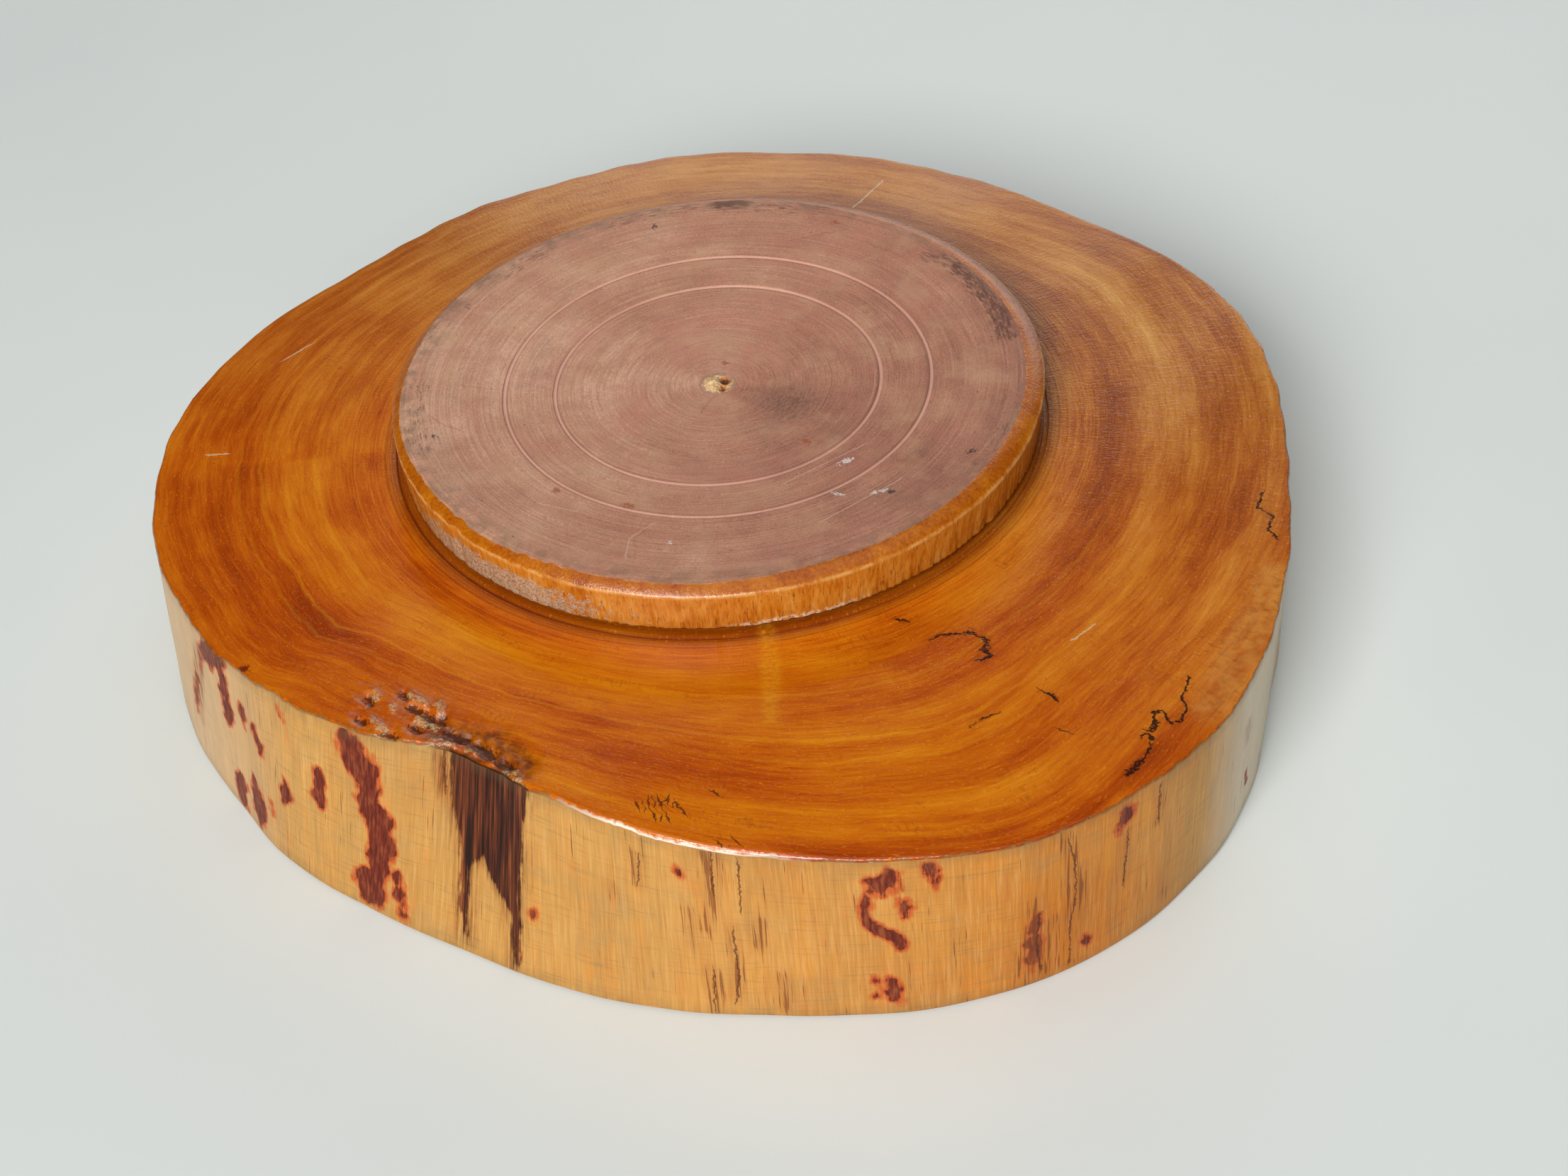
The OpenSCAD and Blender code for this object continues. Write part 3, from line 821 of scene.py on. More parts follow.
def disc_marks(x, y, radius, angle, out):
    """The numbers that the base disc's materials read."""
    worn = bell(angle, -136, 26) * np.clip((out - 6.5) / 5, 0, 1) * (out < 30)
    # Painted sheen: pale fans where the lathe lines catch the light, darker across from them.
    painted_sheen_fans = bell(angle, 165, 26) + bell(angle, -195, 26) + 0.7 * bell(angle, 78, 26)
    sheen_fan = painted_sheen_fans - 0.9 * bell(angle, -40, 30)
    return {
        "radius": radius,
        "out": out,
        "smudge": weighted_cover(x, y, FACE_SMUDGES, 6),
        "grime": weighted_cover(x, y, RIM_GRIME, 2.2),
        "red": weighted_cover(x, y, FACE_REDS, 9),
        **line_marks(x, y, crack=FACE_CRACKS, scratch=FACE_SCRATCHES),
        "sheen_fan": sheen_fan * np.clip(1 - radius / 110, 0, 1),
        "frayed": soft_cover(np.abs(angle + 80) - 7, 4) * np.clip((out - 18) / 1.5, 0, 1),
        "white_fleck": nearest_stroke(x, y, WHITE_FLECKS),
        "orange_spot": nearest_stroke(x, y, ORANGE_SPOTS),
        "black_fleck": nearest_stroke(x, y, BLACK_FLECKS),
        "worn": worn,
        "pale_side": np.clip(-x / 130 + 0.2 * y / 100, -1, 1),
    }


# ------------------------------------------------------------------ the pith plug

PLUG_STATIONS = 96
CRUMBS = 70


def make_plug():
    """The torn pith that closes the middle: a pale ragged hump beside a small dark hole."""
    angles = np.arange(PLUG_STATIONS) * 360 / PLUG_STATIONS - 180
    radii = np.linspace(0, PLUG_RADIUS - 0.05, 26)
    grid_radius, grid_angle = np.meshgrid(radii, np.radians(angles), indexing="ij")
    x, y = grid_radius * np.cos(grid_angle), grid_radius * np.sin(grid_angle)
    hump = mound(x, y, -1.8, 0, 12, 1.5)
    hole = mound(x, y, 2.6, 1.5, 3.2, 1.9) + mound(x, y, 1.6, -2.6, 2.2, 1.2)
    draw = np.random.default_rng(31)
    crumbs = np.zeros_like(x)
    for _ in range(CRUMBS):
        px, py = draw.uniform(-5, 5, 2)
        size, tall = draw.uniform(0.35, 0.9), draw.uniform(-0.7, 0.5)
        crumbs += mound(x, y, px, py, size ** 2, tall)
    fade = np.clip((PLUG_RADIUS - grid_radius) / 2.4, 0, 1)
    top = dish_height(grid_radius) + (hump - hole + crumbs) * fade
    top = np.maximum(top, PLUG_FLOOR + 0.4)
    rows = [np.stack([x, y, top], -1)]
    for radius in (PLUG_RADIUS - 0.05, 0):
        ring_x, ring_y = on_plan(radius, angles)
        rows.append(np.stack([ring_x, ring_y, np.full(len(angles), PLUG_FLOOR)], -1)[None])
    mesh = polar_mesh("pith_plug", np.concatenate(rows), False)
    flat = np.zeros((2, PLUG_STATIONS))
    add_values(mesh, "torn_hole", np.concatenate([np.clip(hole - 0.6 * hump, 0, 1.5), flat]))
    add_values(mesh, "rim_fade", np.concatenate([1 - fade, flat + 1]))
    return finish_mesh(mesh, "pith_plug", 60)


# ------------------------------------------------------------------ shader building


def srgb(code):
    """A web colour such as c66a06 as linear RGBA."""
    parts = [int(code[i:i + 2], 16) / 255 for i in (0, 2, 4)]
    return tuple(c / 12.92 if c <= 0.04045 else ((c + 0.055) / 1.055) ** 2.4 for c in parts) + (1,)


class Shader:
    """A material with one Principled shader, and short calls that add nodes before it."""

    def __init__(self, name, **settings):
        self.material = bpy.data.materials.new(name)
        self.material.use_nodes = True
        self.tree = self.material.node_tree
        self.principled = self.tree.nodes["Principled BSDF"]
        for socket, value in settings.items():
            self.principled.inputs[socket.replace("_", " ")].default_value = value
        self.place = self.add("ShaderNodeTexCoord").outputs["Object"]
        self.shade = None

    def add(self, kind, **settings):
        node = self.tree.nodes.new(kind)
        for key, value in settings.items():
            setattr(node, key, value)
        return node

    def feed(self, socket, value):
        """Links an output to a socket, or sets a plain value on it."""
        if isinstance(value, bpy.types.NodeSocket):
            self.tree.links.new(value, socket)
        elif isinstance(value, str):
            socket.default_value = srgb(value)
        else:
            socket.default_value = value

    def mark(self, name):
        """A number stored on the mesh."""
        return self.add("ShaderNodeAttribute", attribute_name=name).outputs["Fac"]

    def math(self, operation, a, b=0.0, clamp=False):
        node = self.add("ShaderNodeMath", operation=operation, use_clamp=clamp)
        self.feed(node.inputs[0], a)
        self.feed(node.inputs[1], b)
        return node.outputs[0]

    def plus(self, a, b, clamp=False):
        return self.math("ADD", a, b, clamp)

    def times(self, a, b):
        return self.math("MULTIPLY", a, b)

    def away(self, value, middle):
        """How far value is from middle, either way."""
        return self.math("ABSOLUTE", self.math("SUBTRACT", value, middle))

    def patches(self, size, start, end, low=0.0, high=1.0, detail=3.0, rough=0.55):
        """A fade of plain noise: patches about size mm across that run from low to high."""
        return self.fade(self.noise(size, None, detail, rough), start, end, low, high)

    def stretched(self, scale):
        """Object coordinates times scale, so that a noise is longer one way."""
        node = self.add("ShaderNodeMapping")
        node.inputs["Scale"].default_value = scale
        self.feed(node.inputs["Vector"], self.place)
        return node.outputs[0]

    def noise(self, size, vector=None, detail=3.0, rough=0.55):
        """3-D noise with lumps about size mm across."""
        node = self.add("ShaderNodeTexNoise")
        self.feed(node.inputs["Vector"], self.place if vector is None else vector)
        node.inputs["Scale"].default_value = 1 / (size * MM)
        node.inputs["Detail"].default_value = detail
        node.inputs["Roughness"].default_value = rough
        return node.outputs["Fac"]

    def grain(self, length, width, reach=1.8, detail=3.0, rough=0.6):
        """Noise with lumps length mm round the rings and width mm across them.
        The length holds at 100 x reach mm from the middle."""
        frame_node = self.add("ShaderNodeAttribute", attribute_name="ring_frame")
        node = self.add("ShaderNodeMapping")
        node.inputs["Scale"].default_value = (reach / length, reach / length, 1 / width)
        self.feed(node.inputs["Vector"], frame_node.outputs["Vector"])
        return self.noise(1 / MM, node.outputs[0], detail, rough)

    def wall_grain(self, length, width, detail=3.0, rough=0.6):
        """The same at the wall's distance: length mm round it and width mm up it."""
        return self.grain(length, width, WALL_REACH, detail, rough)

    def thin(self, name, wiggle, half, reach=1.5):
        """1 on the stored thin lines, wiggle mm off true, half mm to each side."""
        side = self.plus(self.mark(name + "_side"), self.patches(1.8, 0.3, 0.7, -wiggle, wiggle))
        on_line = self.fade(self.math("ABSOLUTE", side), half, half + 0.25, 1, 0)
        return self.times(on_line, self.fade(self.mark(name + "_near"), reach, reach + 0.8, 1, 0))

    def line_noise(self, value, scale, detail=2.0, rough=0.6):
        """1-D noise along a value, for rings and lathe lines."""
        node = self.add("ShaderNodeTexNoise", noise_dimensions="1D")
        self.feed(node.inputs["W"], value)
        node.inputs["Scale"].default_value = scale
        node.inputs["Detail"].default_value = detail
        node.inputs["Roughness"].default_value = rough
        return node.outputs["Fac"]

    def fade(self, value, start, end, low=0.0, high=1.0):
        """low until value passes start, high after end."""
        node = self.add("ShaderNodeMapRange", clamp=True)
        self.feed(node.inputs["Value"], value)
        for key, number in (("From Min", start), ("From Max", end), ("To Min", low), ("To Max", high)):
            node.inputs[key].default_value = number
        return node.outputs[0]

    def ramp(self, value, stops):
        """Colours along a value; stops are (place, colour)."""
        node = self.add("ShaderNodeValToRGB")
        ramp = node.color_ramp
        while len(ramp.elements) < len(stops):
            ramp.elements.new(0.5)
        for element, (place, colour) in zip(ramp.elements, stops):
            element.position = place
            element.color = srgb(colour)
        self.feed(node.inputs[0], value)
        return node.outputs[0]

    def mix(self, amount, a, b):
        """Colour a where amount is 0, colour b where it is 1."""
        node = self.add("ShaderNodeMix", data_type="RGBA")
        self.feed(node.inputs[0], amount)
        self.feed(node.inputs[6], a)
        self.feed(node.inputs[7], b)
        return node.outputs[2]

    def tint(self, mask, colour):
        """Lays a colour over the shade so far, where mask is 1."""
        self.shade = self.mix(mask, self.shade, colour)

    def colour(self, value):
        self.feed(self.principled.inputs["Base Color"], value)

    def roughness(self, value):
        self.feed(self.principled.inputs["Roughness"], value)

    def bump(self, height, distance, strength=1.0, coat=False):
        """Raises the surface by height times distance mm."""
        node = self.add("ShaderNodeBump")
        node.inputs["Strength"].default_value = strength
        node.inputs["Distance"].default_value = distance * MM
        self.feed(node.inputs["Height"], height)
        self.feed(self.principled.inputs["Normal"], node.outputs[0])
        if coat:
            self.feed(self.principled.inputs["Coat Normal"], node.outputs[0])

    def tone(self, *terms, marks=()):
        """Noises about 0.5, each times its weight, as one value about 0.5; marks shift it up or down."""
        offset = 0.5 - 0.5 * sum(weight for weight, _ in terms)
        return self.plus(self.total(*terms, *marks), offset)

    def total(self, *terms):
        """Sum of (weight, value) terms."""
        result = None
        for weight, value in terms:
            part = self.times(value, weight)
            result = part if result is None else self.plus(result, part)
        return result


# ------------------------------------------------------------------ wood colours
# Each goes from the darkest grain to the palest.

TOP_AMBER = [(0.25, "983400"), (0.4, "b94c00"), (0.52, "cc6400"), (0.66, "da7a02"), (0.8, "e8960c")]
TOP_BROWN = [(0.25, "84400e"), (0.4, "a05818"), (0.52, "b6722a"), (0.66, "ca8c40"), (0.8, "dca860")]
WALL_TAN = [(0.3, "a0763c"), (0.45, "b98746"), (0.55, "c5934e"), (0.7, "d6ac68")]
WALL_AMBER = [(0.3, "a05412"), (0.45, "c06e18"), (0.55, "ce7e22"), (0.7, "da9634")]
WALL_SHEEN_PALE = "efe3cc"
STAIN_RED = [(0.35, "551a0e"), (0.5, "6c2614"), (0.66, "8a4628")]
STAIN_HALO = "bb5220"
BARK_BROWN = [(0.38, "120605"), (0.47, "32110a"), (0.55, "5a2411"), (0.66, "94502a")]
RAW_PINK = [(0.26, "84503a"), (0.42, "ab7057"), (0.55, "be8669"), (0.72, "d9ab8f")]
BEVEL_ORANGE = [(0.35, "944004"), (0.5, "b05c06"), (0.65, "c47412")]
SIDE_ORANGE = [(0.34, "a4520c"), (0.46, "c2721a"), (0.58, "cf8a34"), (0.7, "dca55a")]
RUBBED_GREY = [(0.35, "7e6248"), (0.5, "b09478"), (0.65, "cdb69c")]
SERVING_WOOD = [(0.32, "8f3f08"), (0.46, "b25c0e"), (0.56, "c4741c"), (0.7, "d8923a")]
PITH_PALE = [(0.34, "ba8040"), (0.5, "e6bf88"), (0.66, "f6e0b8")]

# Clear varnish: all of the shine comes from the coat.
VARNISH = {"Specular_IOR_Level": 0.0, "Coat_Weight": 1.0, "Coat_Roughness": 0.2, "Coat_IOR": 1.5}

# ------------------------------------------------------------------ wood materials


def top_wood(s):
    """Varnished end grain: amber in front, pinker brown at the back, in wavy growth bands, with painted shade
    in a ring just round the base disc.
    """
    ring = s.mark("ring")
    wavy = s.plus(ring, s.patches(34, 0.3, 0.7, -0.05, 0.05, detail=2))
    broad = s.line_noise(wavy, 9, 2)
    hair = s.line_noise(wavy, 110, 3, 0.7)
    blotch = s.noise(26, detail=4, rough=0.6)
    streaks = s.grain(60, 5)
    threads = s.grain(14, 0.9, rough=0.7)
    tone = s.tone((0.1, broad), (0.16, hair), (0.3, blotch), (0.45, streaks), (0.36, threads),
                  marks=((-0.13, s.mark("dark_band")), (0.12, s.mark("pale_band"))))
    amber = s.ramp(tone, TOP_AMBER)
    brown = s.ramp(tone, TOP_BROWN)
    s.shade = s.mix(s.mark("warm"), brown, amber)
    lathe = s.line_noise(s.mark("radius"), 1.1, 2)
    near_disc = s.fade(s.mark("radius"), 118, 146, 1, 0)
    s.tint(s.times(s.fade(lathe, 0.5, 0.7, 0, 0.4), near_disc), "e6921c")
    s.tint(s.times(s.fade(lathe, 0.3, 0.46, 0.4, 0), near_disc), "8a3c08")
    # Painted shade: a dark ring on the top just outside the groove, where the base disc's shade falls.
    s.tint(s.fade(s.mark("radius"), 116.5, 122, 0.6, 0), "6a2c08")
    for level, amount in PALE_RINGS:
        away = s.away(s.plus(ring, s.patches(9, 0.3, 0.7, -0.008, 0.008)), level)
        line = s.times(s.fade(away, 0.002, 0.012, amount, 0), s.mark("warm"))
        s.tint(line, "eca01a")


def top_wear(s):
    """Pores, painted glints (bright flecks for the varnish's sparkle), chatter marks, the pale ray in front
    and the worn rim at the right.
    """
    pores = s.grain(1.2, 0.7, detail=1)
    s.tint(s.fade(pores, 0.64, 0.76, 0, 0.4), "8a4408")
    # Painted glints: bright flecks standing in for the sparkle of the varnished pores.
    glints = s.grain(1.4, 0.5, detail=2)
    s.tint(s.fade(glints, 0.6, 0.75, 0, 0.45), "f0a41c")
    zones = s.plus(s.fade(s.grain(30, 9), 0.55, 0.66, 0, 0.4), s.times(s.mark("rim_wear"), 0.6))
    chatter = s.times(s.fade(s.grain(1.1, 3, detail=1), 0.54, 0.64), zones)
    s.tint(chatter, "8e4206")
    streaky = s.fade(s.grain(3, 0.8), 0.4, 0.6, 0.1, 0.45)
    s.tint(s.times(s.mark("ray"), streaky), "e8a21c")
    s.tint(s.times(s.mark("rim_wear"), s.patches(5, 0.3, 0.6, 0.1, 0.5)), "dc9a48")


def frayed(s):
    """A ragged shift of mm either way, for the edges of drawn marks."""
    return s.patches(1.4, 0.3, 0.7, -1.4, 1.4, detail=4, rough=0.7)


def torn_marks(s):
    """The scorched lip over the hollow and the torn grain beside it, with painted shade in its pits."""
    scorch = s.times(s.mark("scorch"), s.patches(3, 0.3, 0.62, 0.25, 1))
    s.tint(s.times(scorch, 0.85), "5c1c05")
    fray = frayed(s)
    around = s.times(s.mark("torn"), s.patches(2.0, 0.5, 0.64, 0, 0.6))
    s.tint(around, "8a4a0c")
    # Painted shade: the torn pits darkened where shade falls in them.
    s.tint(s.fade(s.plus(s.mark("pit_shade"), fray), 0, 0.6, 0.85, 0), "3c1606")
    bits = s.patches(0.8, 0.4, 0.56, 0.1, 0.9, detail=2)
    pale = s.times(s.fade(s.plus(s.mark("pale_tear"), fray), 0, 0.6, 1, 0), bits)
    s.tint(pale, "c0a070")


def ink_marks(s):
    """Dark spalting lines with their halos, small ticks, the knot and the pale scratches."""
    fray = frayed(s)
    blot = s.plus(s.mark("blot"), fray)
    ink = s.math("MAXIMUM", s.thin("spalt", 0.7, 0.34), s.fade(blot, 0, 0.4, 1, 0))
    halo = s.times(s.fade(s.mark("spalt_near"), 0.5, 3, 0.4, 0), s.patches(1.6, 0.45, 0.6))
    s.tint(halo, "7a3606")
    s.tint(s.times(ink, s.patches(3.5, 0.35, 0.45, 0.55, 0.95)), "2c1206")
    s.tint(s.times(s.thin("tick", 0.5, 0.22), 0.85), "4e2208")
    s.tint(s.fade(s.plus(s.mark("knot"), fray), -0.8, 0.4, 0.9, 0), "6a1c08")
    s.tint(s.times(s.thin("scratch", 0.3, 0.2), 0.6), "dcc8a4")


def wall_wood(s):
    """Peeled sapwood: tan with fine upright fibres, amber patches, grey handling marks and a painted pale
    sheen at the ends.
    """
    fibre = s.wall_grain(0.9, 30, detail=4, rough=0.65)
    band = s.wall_grain(6, 60)
    cloud = s.wall_grain(34, 60)
    tone = s.tone((0.32, fibre), (0.18, band), (0.3, cloud))
    tan = s.ramp(tone, WALL_TAN)
    amber = s.ramp(tone, WALL_AMBER)
    warm = s.plus(s.mark("amber"), s.fade(band, 0.45, 0.65, -0.06, 0.16), clamp=True)
    s.shade = s.mix(warm, tan, amber)
    smoke = s.fade(s.noise(14, s.stretched((0.6, 1, 1)), detail=5, rough=0.7), 0.5, 0.72, 0, 0.3)
    s.tint(smoke, "8b7c56")
    strokes = s.wall_grain(16, 0.7, detail=2)
    s.tint(s.fade(strokes, 0.56, 0.7, 0, 0.3), "6f6244")
    fine = s.wall_grain(0.6, 16, detail=2)
    s.tint(s.fade(fine, 0.52, 0.74, 0, 0.26), "8a5a2a")
    s.tint(s.fade(fine, 0.48, 0.3, 0, 0.2), "e6bd80")
    orange = s.fade(s.wall_grain(6, 14), 0.6, 0.74, 0, 0.35)
    s.tint(orange, "d07a34")
    # Painted sheen: the wall turned pale where it is seen at a glancing angle.
    s.tint(s.fade(s.mark("amber"), 0, -1, 0, 0.8), WALL_SHEEN_PALE)


def wall_stains(s):
    """The red-brown stains with their orange halos, and the bark-brown patch in the hollow."""
    lobes = s.wall_grain(7, 7, detail=1)
    edge = s.wall_grain(2.2, 4)
    frayed = s.wall_grain(0.8, 8, detail=2)
    ragged = s.math("SUBTRACT", s.total((7, lobes), (3.4, edge), (2.2, frayed)), 6.3)
    stain = s.plus(s.mark("stain"), ragged)
    s.tint(s.fade(stain, 0.7, 1.9, 0.9, 0), STAIN_HALO)
    core = s.ramp(s.wall_grain(1.1, 6, detail=4), STAIN_RED)
    s.tint(s.fade(stain, -0.1, 0.5, 1, 0), core)
    patch = s.plus(s.mark("patch"), s.math("SUBTRACT", s.total((3, edge), (5, frayed)), 4))
    wide = s.wall_grain(3.2, 50)
    narrow = s.wall_grain(1.0, 30, rough=0.7)
    streaks = s.total((0.5, wide), (0.5, narrow))
    bark = s.ramp(streaks, BARK_BROWN)
    fringe = s.times(s.fade(patch, 0.2, 5, 0.9, 0), s.fade(streaks, 0.46, 0.56, 1, 0))
    s.tint(fringe, "74401c")
    s.tint(s.fade(patch, -0.6, 0.6, 0.96, 0), bark)


def wall_threads(s):
    """Dark broken fibres and veins."""
    thread = s.wall_grain(0.8, 22, detail=2)
    level = s.plus(thread, s.times(s.mark("streak"), 0.14))
    s.tint(s.fade(level, 0.67, 0.74, 0, 0.75), "5c2810")
    s.tint(s.times(s.mark("streak"), 0.25), "a8622c")
    s.tint(s.times(s.thin("vein", 0.5, 0.18), 0.75), "4a1c0c")


def make_tray_wood(name, coat, gloss):
    """The slice's wood, top and wall in one pattern so that they meet unbroken, under a coat of varnish."""
    s = Shader(name, **{**VARNISH, "Coat_Weight": coat, "Coat_Roughness": gloss})
    past = s.plus(s.mark("past_edge"), s.patches(4, 0.3, 0.7, -0.5, 0.5))
    side = s.fade(past, -0.5, -0.1)
    tray_colour(s, past, side)
    s.colour(s.shade)
    s.roughness(s.patches(12, 0.3, 0.7, 0.38, 0.5))
    tray_relief(s, side)
    return s.material


def tray_colour(s, past, side):
    """The top's and the wall's colours, greyed and darkened along the wall's edges, with a thin dark line on
    the lip between them and a painted highlight on the lip's front part.
    """
    top_wood(s)
    top_wear(s)
    torn_marks(s)
    ink_marks(s)
    top = s.shade
    wall_wood(s)
    wall_stains(s)
    wall_threads(s)
    # Grey soiling just under the upper edge, and darker towards the foot of the wall.
    wall_edge_darkening = s.math("MAXIMUM", s.fade(past, 0.5, 6, 0.42, 0), s.fade(past, 62, 67, 0, 0.35))
    wall_edge_darkening = s.times(wall_edge_darkening, s.patches(5, 0.35, 0.6, 0.4, 1))
    s.tint(wall_edge_darkening, "6e5a3c")
    s.shade = s.mix(side, top, s.shade)
    lip = s.times(s.fade(past, -0.9, -0.4), s.fade(past, -0.1, 0.9, 1, 0))
    s.tint(s.times(lip, s.fade(s.mark("edge_highlight"), 0, 1, 0.45, 0)), "4a260c")
    # A highlight painted on the front part of the lip, where the varnished rounding catches the light.
    s.tint(s.times(lip, s.mark("edge_highlight")), "f6ead6")


def tray_relief(s, side):
    """Fine pores, lathe rings and torn grain on the top, upright fibres on the wall."""
    rings = s.times(s.line_noise(s.mark("radius"), 1.3, 2), s.fade(s.mark("radius"), 118, 150, 1, 0.1))
    tears = s.times(s.mark("torn"), s.noise(1.2, detail=4, rough=0.7))
    fine = s.grain(1.4, 0.5, detail=2)
    chatter = s.grain(1.1, 4, detail=1)
    top_relief = s.total((0.8, fine), (0.5, s.grain(12, 0.9)), (0.5, rings), (2, tears), (0.6, chatter),
                         (0.8, s.noise(5, detail=2)))
    wall_relief = s.total((1.0, s.wall_grain(0.9, 24)), (0.3, s.wall_grain(12, 0.7)))
    s.bump(s.mix(side, top_relief, wall_relief), 0.14, 0.7, coat=True)


def make_raw_face():
    """The base's unvarnished face: pinkish grey-brown, with lathe lines, grime, old marks and painted sheen
    fans.
    """
    s = Shader("raw_face", Roughness=0.62)
    radius = s.mark("radius")
    lathe = s.line_noise(radius, 1.3, 3, 0.7)
    arcs = s.grain(26, 0.55, 0.7, rough=0.7)
    broad = s.line_noise(s.plus(radius, s.times(s.noise(40), 9)), 0.16, 3)
    blotch = s.noise(24, detail=5, rough=0.62)
    grain = s.noise(0.7, rough=0.7)
    # The tone is raised on the pale side and in the painted sheen fans.
    tone = s.tone((0.16, lathe), (0.4, arcs), (0.08, broad), (0.4, blotch), (0.46, grain),
                  marks=((0.13, s.mark("pale_side")), (0.12, s.mark("sheen_fan"))))
    s.shade = s.ramp(tone, RAW_PINK)
    raw_face_patches(s, radius)
    raw_face_dirt(s, radius)
    raw_face_marks(s, radius)
    s.colour(s.shade)
    s.bump(s.total((0.7, lathe), (0.9, arcs), (0.7, grain), (0.4, s.noise(2.5))), 0.15, 0.8)
    return s.material


def raw_face_patches(s, radius):
    """Red, grey, tan and rosy clouds in the bare wood."""
    red = s.times(s.mark("red"), s.patches(12, 0.35, 0.65))
    s.tint(s.times(red, 0.35), "b05a46")
    grey = s.patches(9, 0.5, 0.7, 0, 0.25, detail=4, rough=0.65)
    s.tint(grey, "8e705c")
    tan = s.patches(17, 0.5, 0.68, 0, 0.4, detail=4, rough=0.6)
    s.tint(tan, "c79c76")
    rosy = s.patches(21, 0.52, 0.66, 0, 0.35)
    s.tint(s.times(rosy, s.fade(radius, 40, 95, 1, 0.3)), "b5685a")


def raw_face_dirt(s, radius):
    """Smudges, dark and pale ticks along the lathe lines, and grime by the rim."""
    speck = s.grain(3, 0.8, 0.5, detail=2)
    smudge = s.times(s.mark("smudge"), s.fade(speck, 0.42, 0.68, 0.12, 0.5))
    s.tint(smudge, "523a2c")
    ticks = s.grain(2.6, 0.8, 0.7, detail=2)
    s.tint(s.fade(ticks, 0.69, 0.75, 0, 0.65), "5a3828")
    pale_ticks = s.grain(2.0, 0.7, 0.9, detail=2)
    s.tint(s.fade(pale_ticks, 0.69, 0.76, 0, 0.5), "e4c4ac")
    torn_rim = s.grain(4, 0.9, 1.05, detail=5, rough=0.75)
    grime = s.plus(s.times(s.mark("grime"), 0.22), torn_rim)
    s.tint(s.fade(grime, 0.6, 0.78, 0, 0.85), "52291a")
    rim_soil = s.times(s.fade(radius, 102, 109, 0, 0.6), s.patches(6, 0.42, 0.62, detail=4))
    s.tint(rim_soil, "7c5a44")


def raw_face_marks(s, radius):
    """The scribed circles with painted light and shade in their grooves, cracks, scratches and small spots.
    """
    # Painted light on the scribed grooves' lit wall, and painted shade in a thin line just inside them.
    s.tint(s.times(scribe_mask(s, radius, 0), 0.6), "dcab98")
    s.tint(s.times(scribe_mask(s, radius, -0.9), 0.4), "6e4434")
    s.tint(s.times(s.thin("crack", 0.6, 0.12), 0.35), "8a3a28")
    s.tint(s.times(s.thin("scratch", 0.2, 0.08), 0.5), "dcb8a0")
    fleck_noise = s.patches(0.9, 0.3, 0.7, -0.8, 0.8, detail=2)
    white = s.plus(s.mark("white_fleck"), fleck_noise)
    s.tint(s.fade(white, 0.1, 0.5, 0.85, 0), "d8cfc6")
    orange = s.plus(s.mark("orange_spot"), fleck_noise)
    s.tint(s.fade(orange, 0, 0.8, 0.8, 0), "9c4a18")
    black = s.plus(s.mark("black_fleck"), fleck_noise)
    s.tint(s.fade(black, 0, 0.5, 0.85, 0), "2a1c16")


def scribe_mask(s, radius, shift):
    """1 in the scribed circles, or on a thin line shift mm outside their middles."""
    inner, outer = (0.5, 0.9) if shift == 0 else (0.12, 0.4)
    total = None
    for circle in SCRIBES:
        part = s.fade(s.away(radius, circle + shift), inner, outer, 1, 0)
        total = part if total is None else s.math("MAXIMUM", total, part)
    return total


def make_varnished_side():
    """The base's bevel and edge: deep orange varnish over upright torn fibres, with a painted highlight along
    the ridge between bevel and side.
    """
    s = Shader("varnished_side", **VARNISH)
    fibre = s.noise(1.0, s.stretched((1, 1, 0.12)), detail=3, rough=0.65)
    patch = s.noise(8, s.stretched((1, 1, 0.4)), detail=4)
    tone = s.total((0.5, fibre), (0.5, patch))
    on_side = s.fade(s.mark("out"), 4, 6)
    bevel = s.ramp(tone, BEVEL_ORANGE)
    side = s.ramp(tone, SIDE_ORANGE)
    s.shade = s.mix(on_side, bevel, side)
    dark = s.noise(0.7, s.stretched((1, 1, 0.1)), detail=2)
    s.tint(s.times(s.fade(dark, 0.6, 0.7, 0, 0.7), on_side), "6a2a08")
    rubbed = s.plus(s.mark("worn"), s.patches(2.4, 0.3, 0.7, -0.45, 0.45, detail=4, rough=0.7))
    grey = s.ramp(s.noise(0.8, rough=0.7), RUBBED_GREY)
    s.tint(s.fade(rubbed, 0.5, 0.7, 0, 0.85), grey)
    pale_edge = s.times(s.fade(s.mark("out"), 0, 0.5, 1, 0), s.patches(2.5, 0.5, 0.6))
    s.tint(s.times(pale_edge, 0.4), "d9a878")
    # Painted highlight: a pale line on the ridge between the bevel and the side.
    ridge_highlight = s.times(s.fade(s.mark("out"), 4.3, 4.9), s.fade(s.mark("out"), 5.1, 6.2, 1, 0))
    s.tint(s.times(ridge_highlight, s.patches(4, 0.4, 0.6, 0.1, 0.5)), "eebc74")
    foot = s.times(s.mark("frayed"), s.patches(1.4, 0.42, 0.58))
    s.tint(foot, "f0e0c4")
    s.colour(s.shade)
    s.roughness(s.fade(patch, 0.3, 0.7, 0.35, 0.5))
    s.bump(s.total((1.0, fibre), (0.4, s.noise(0.7, detail=2))), 0.2, 0.8, coat=True)
    return s.material


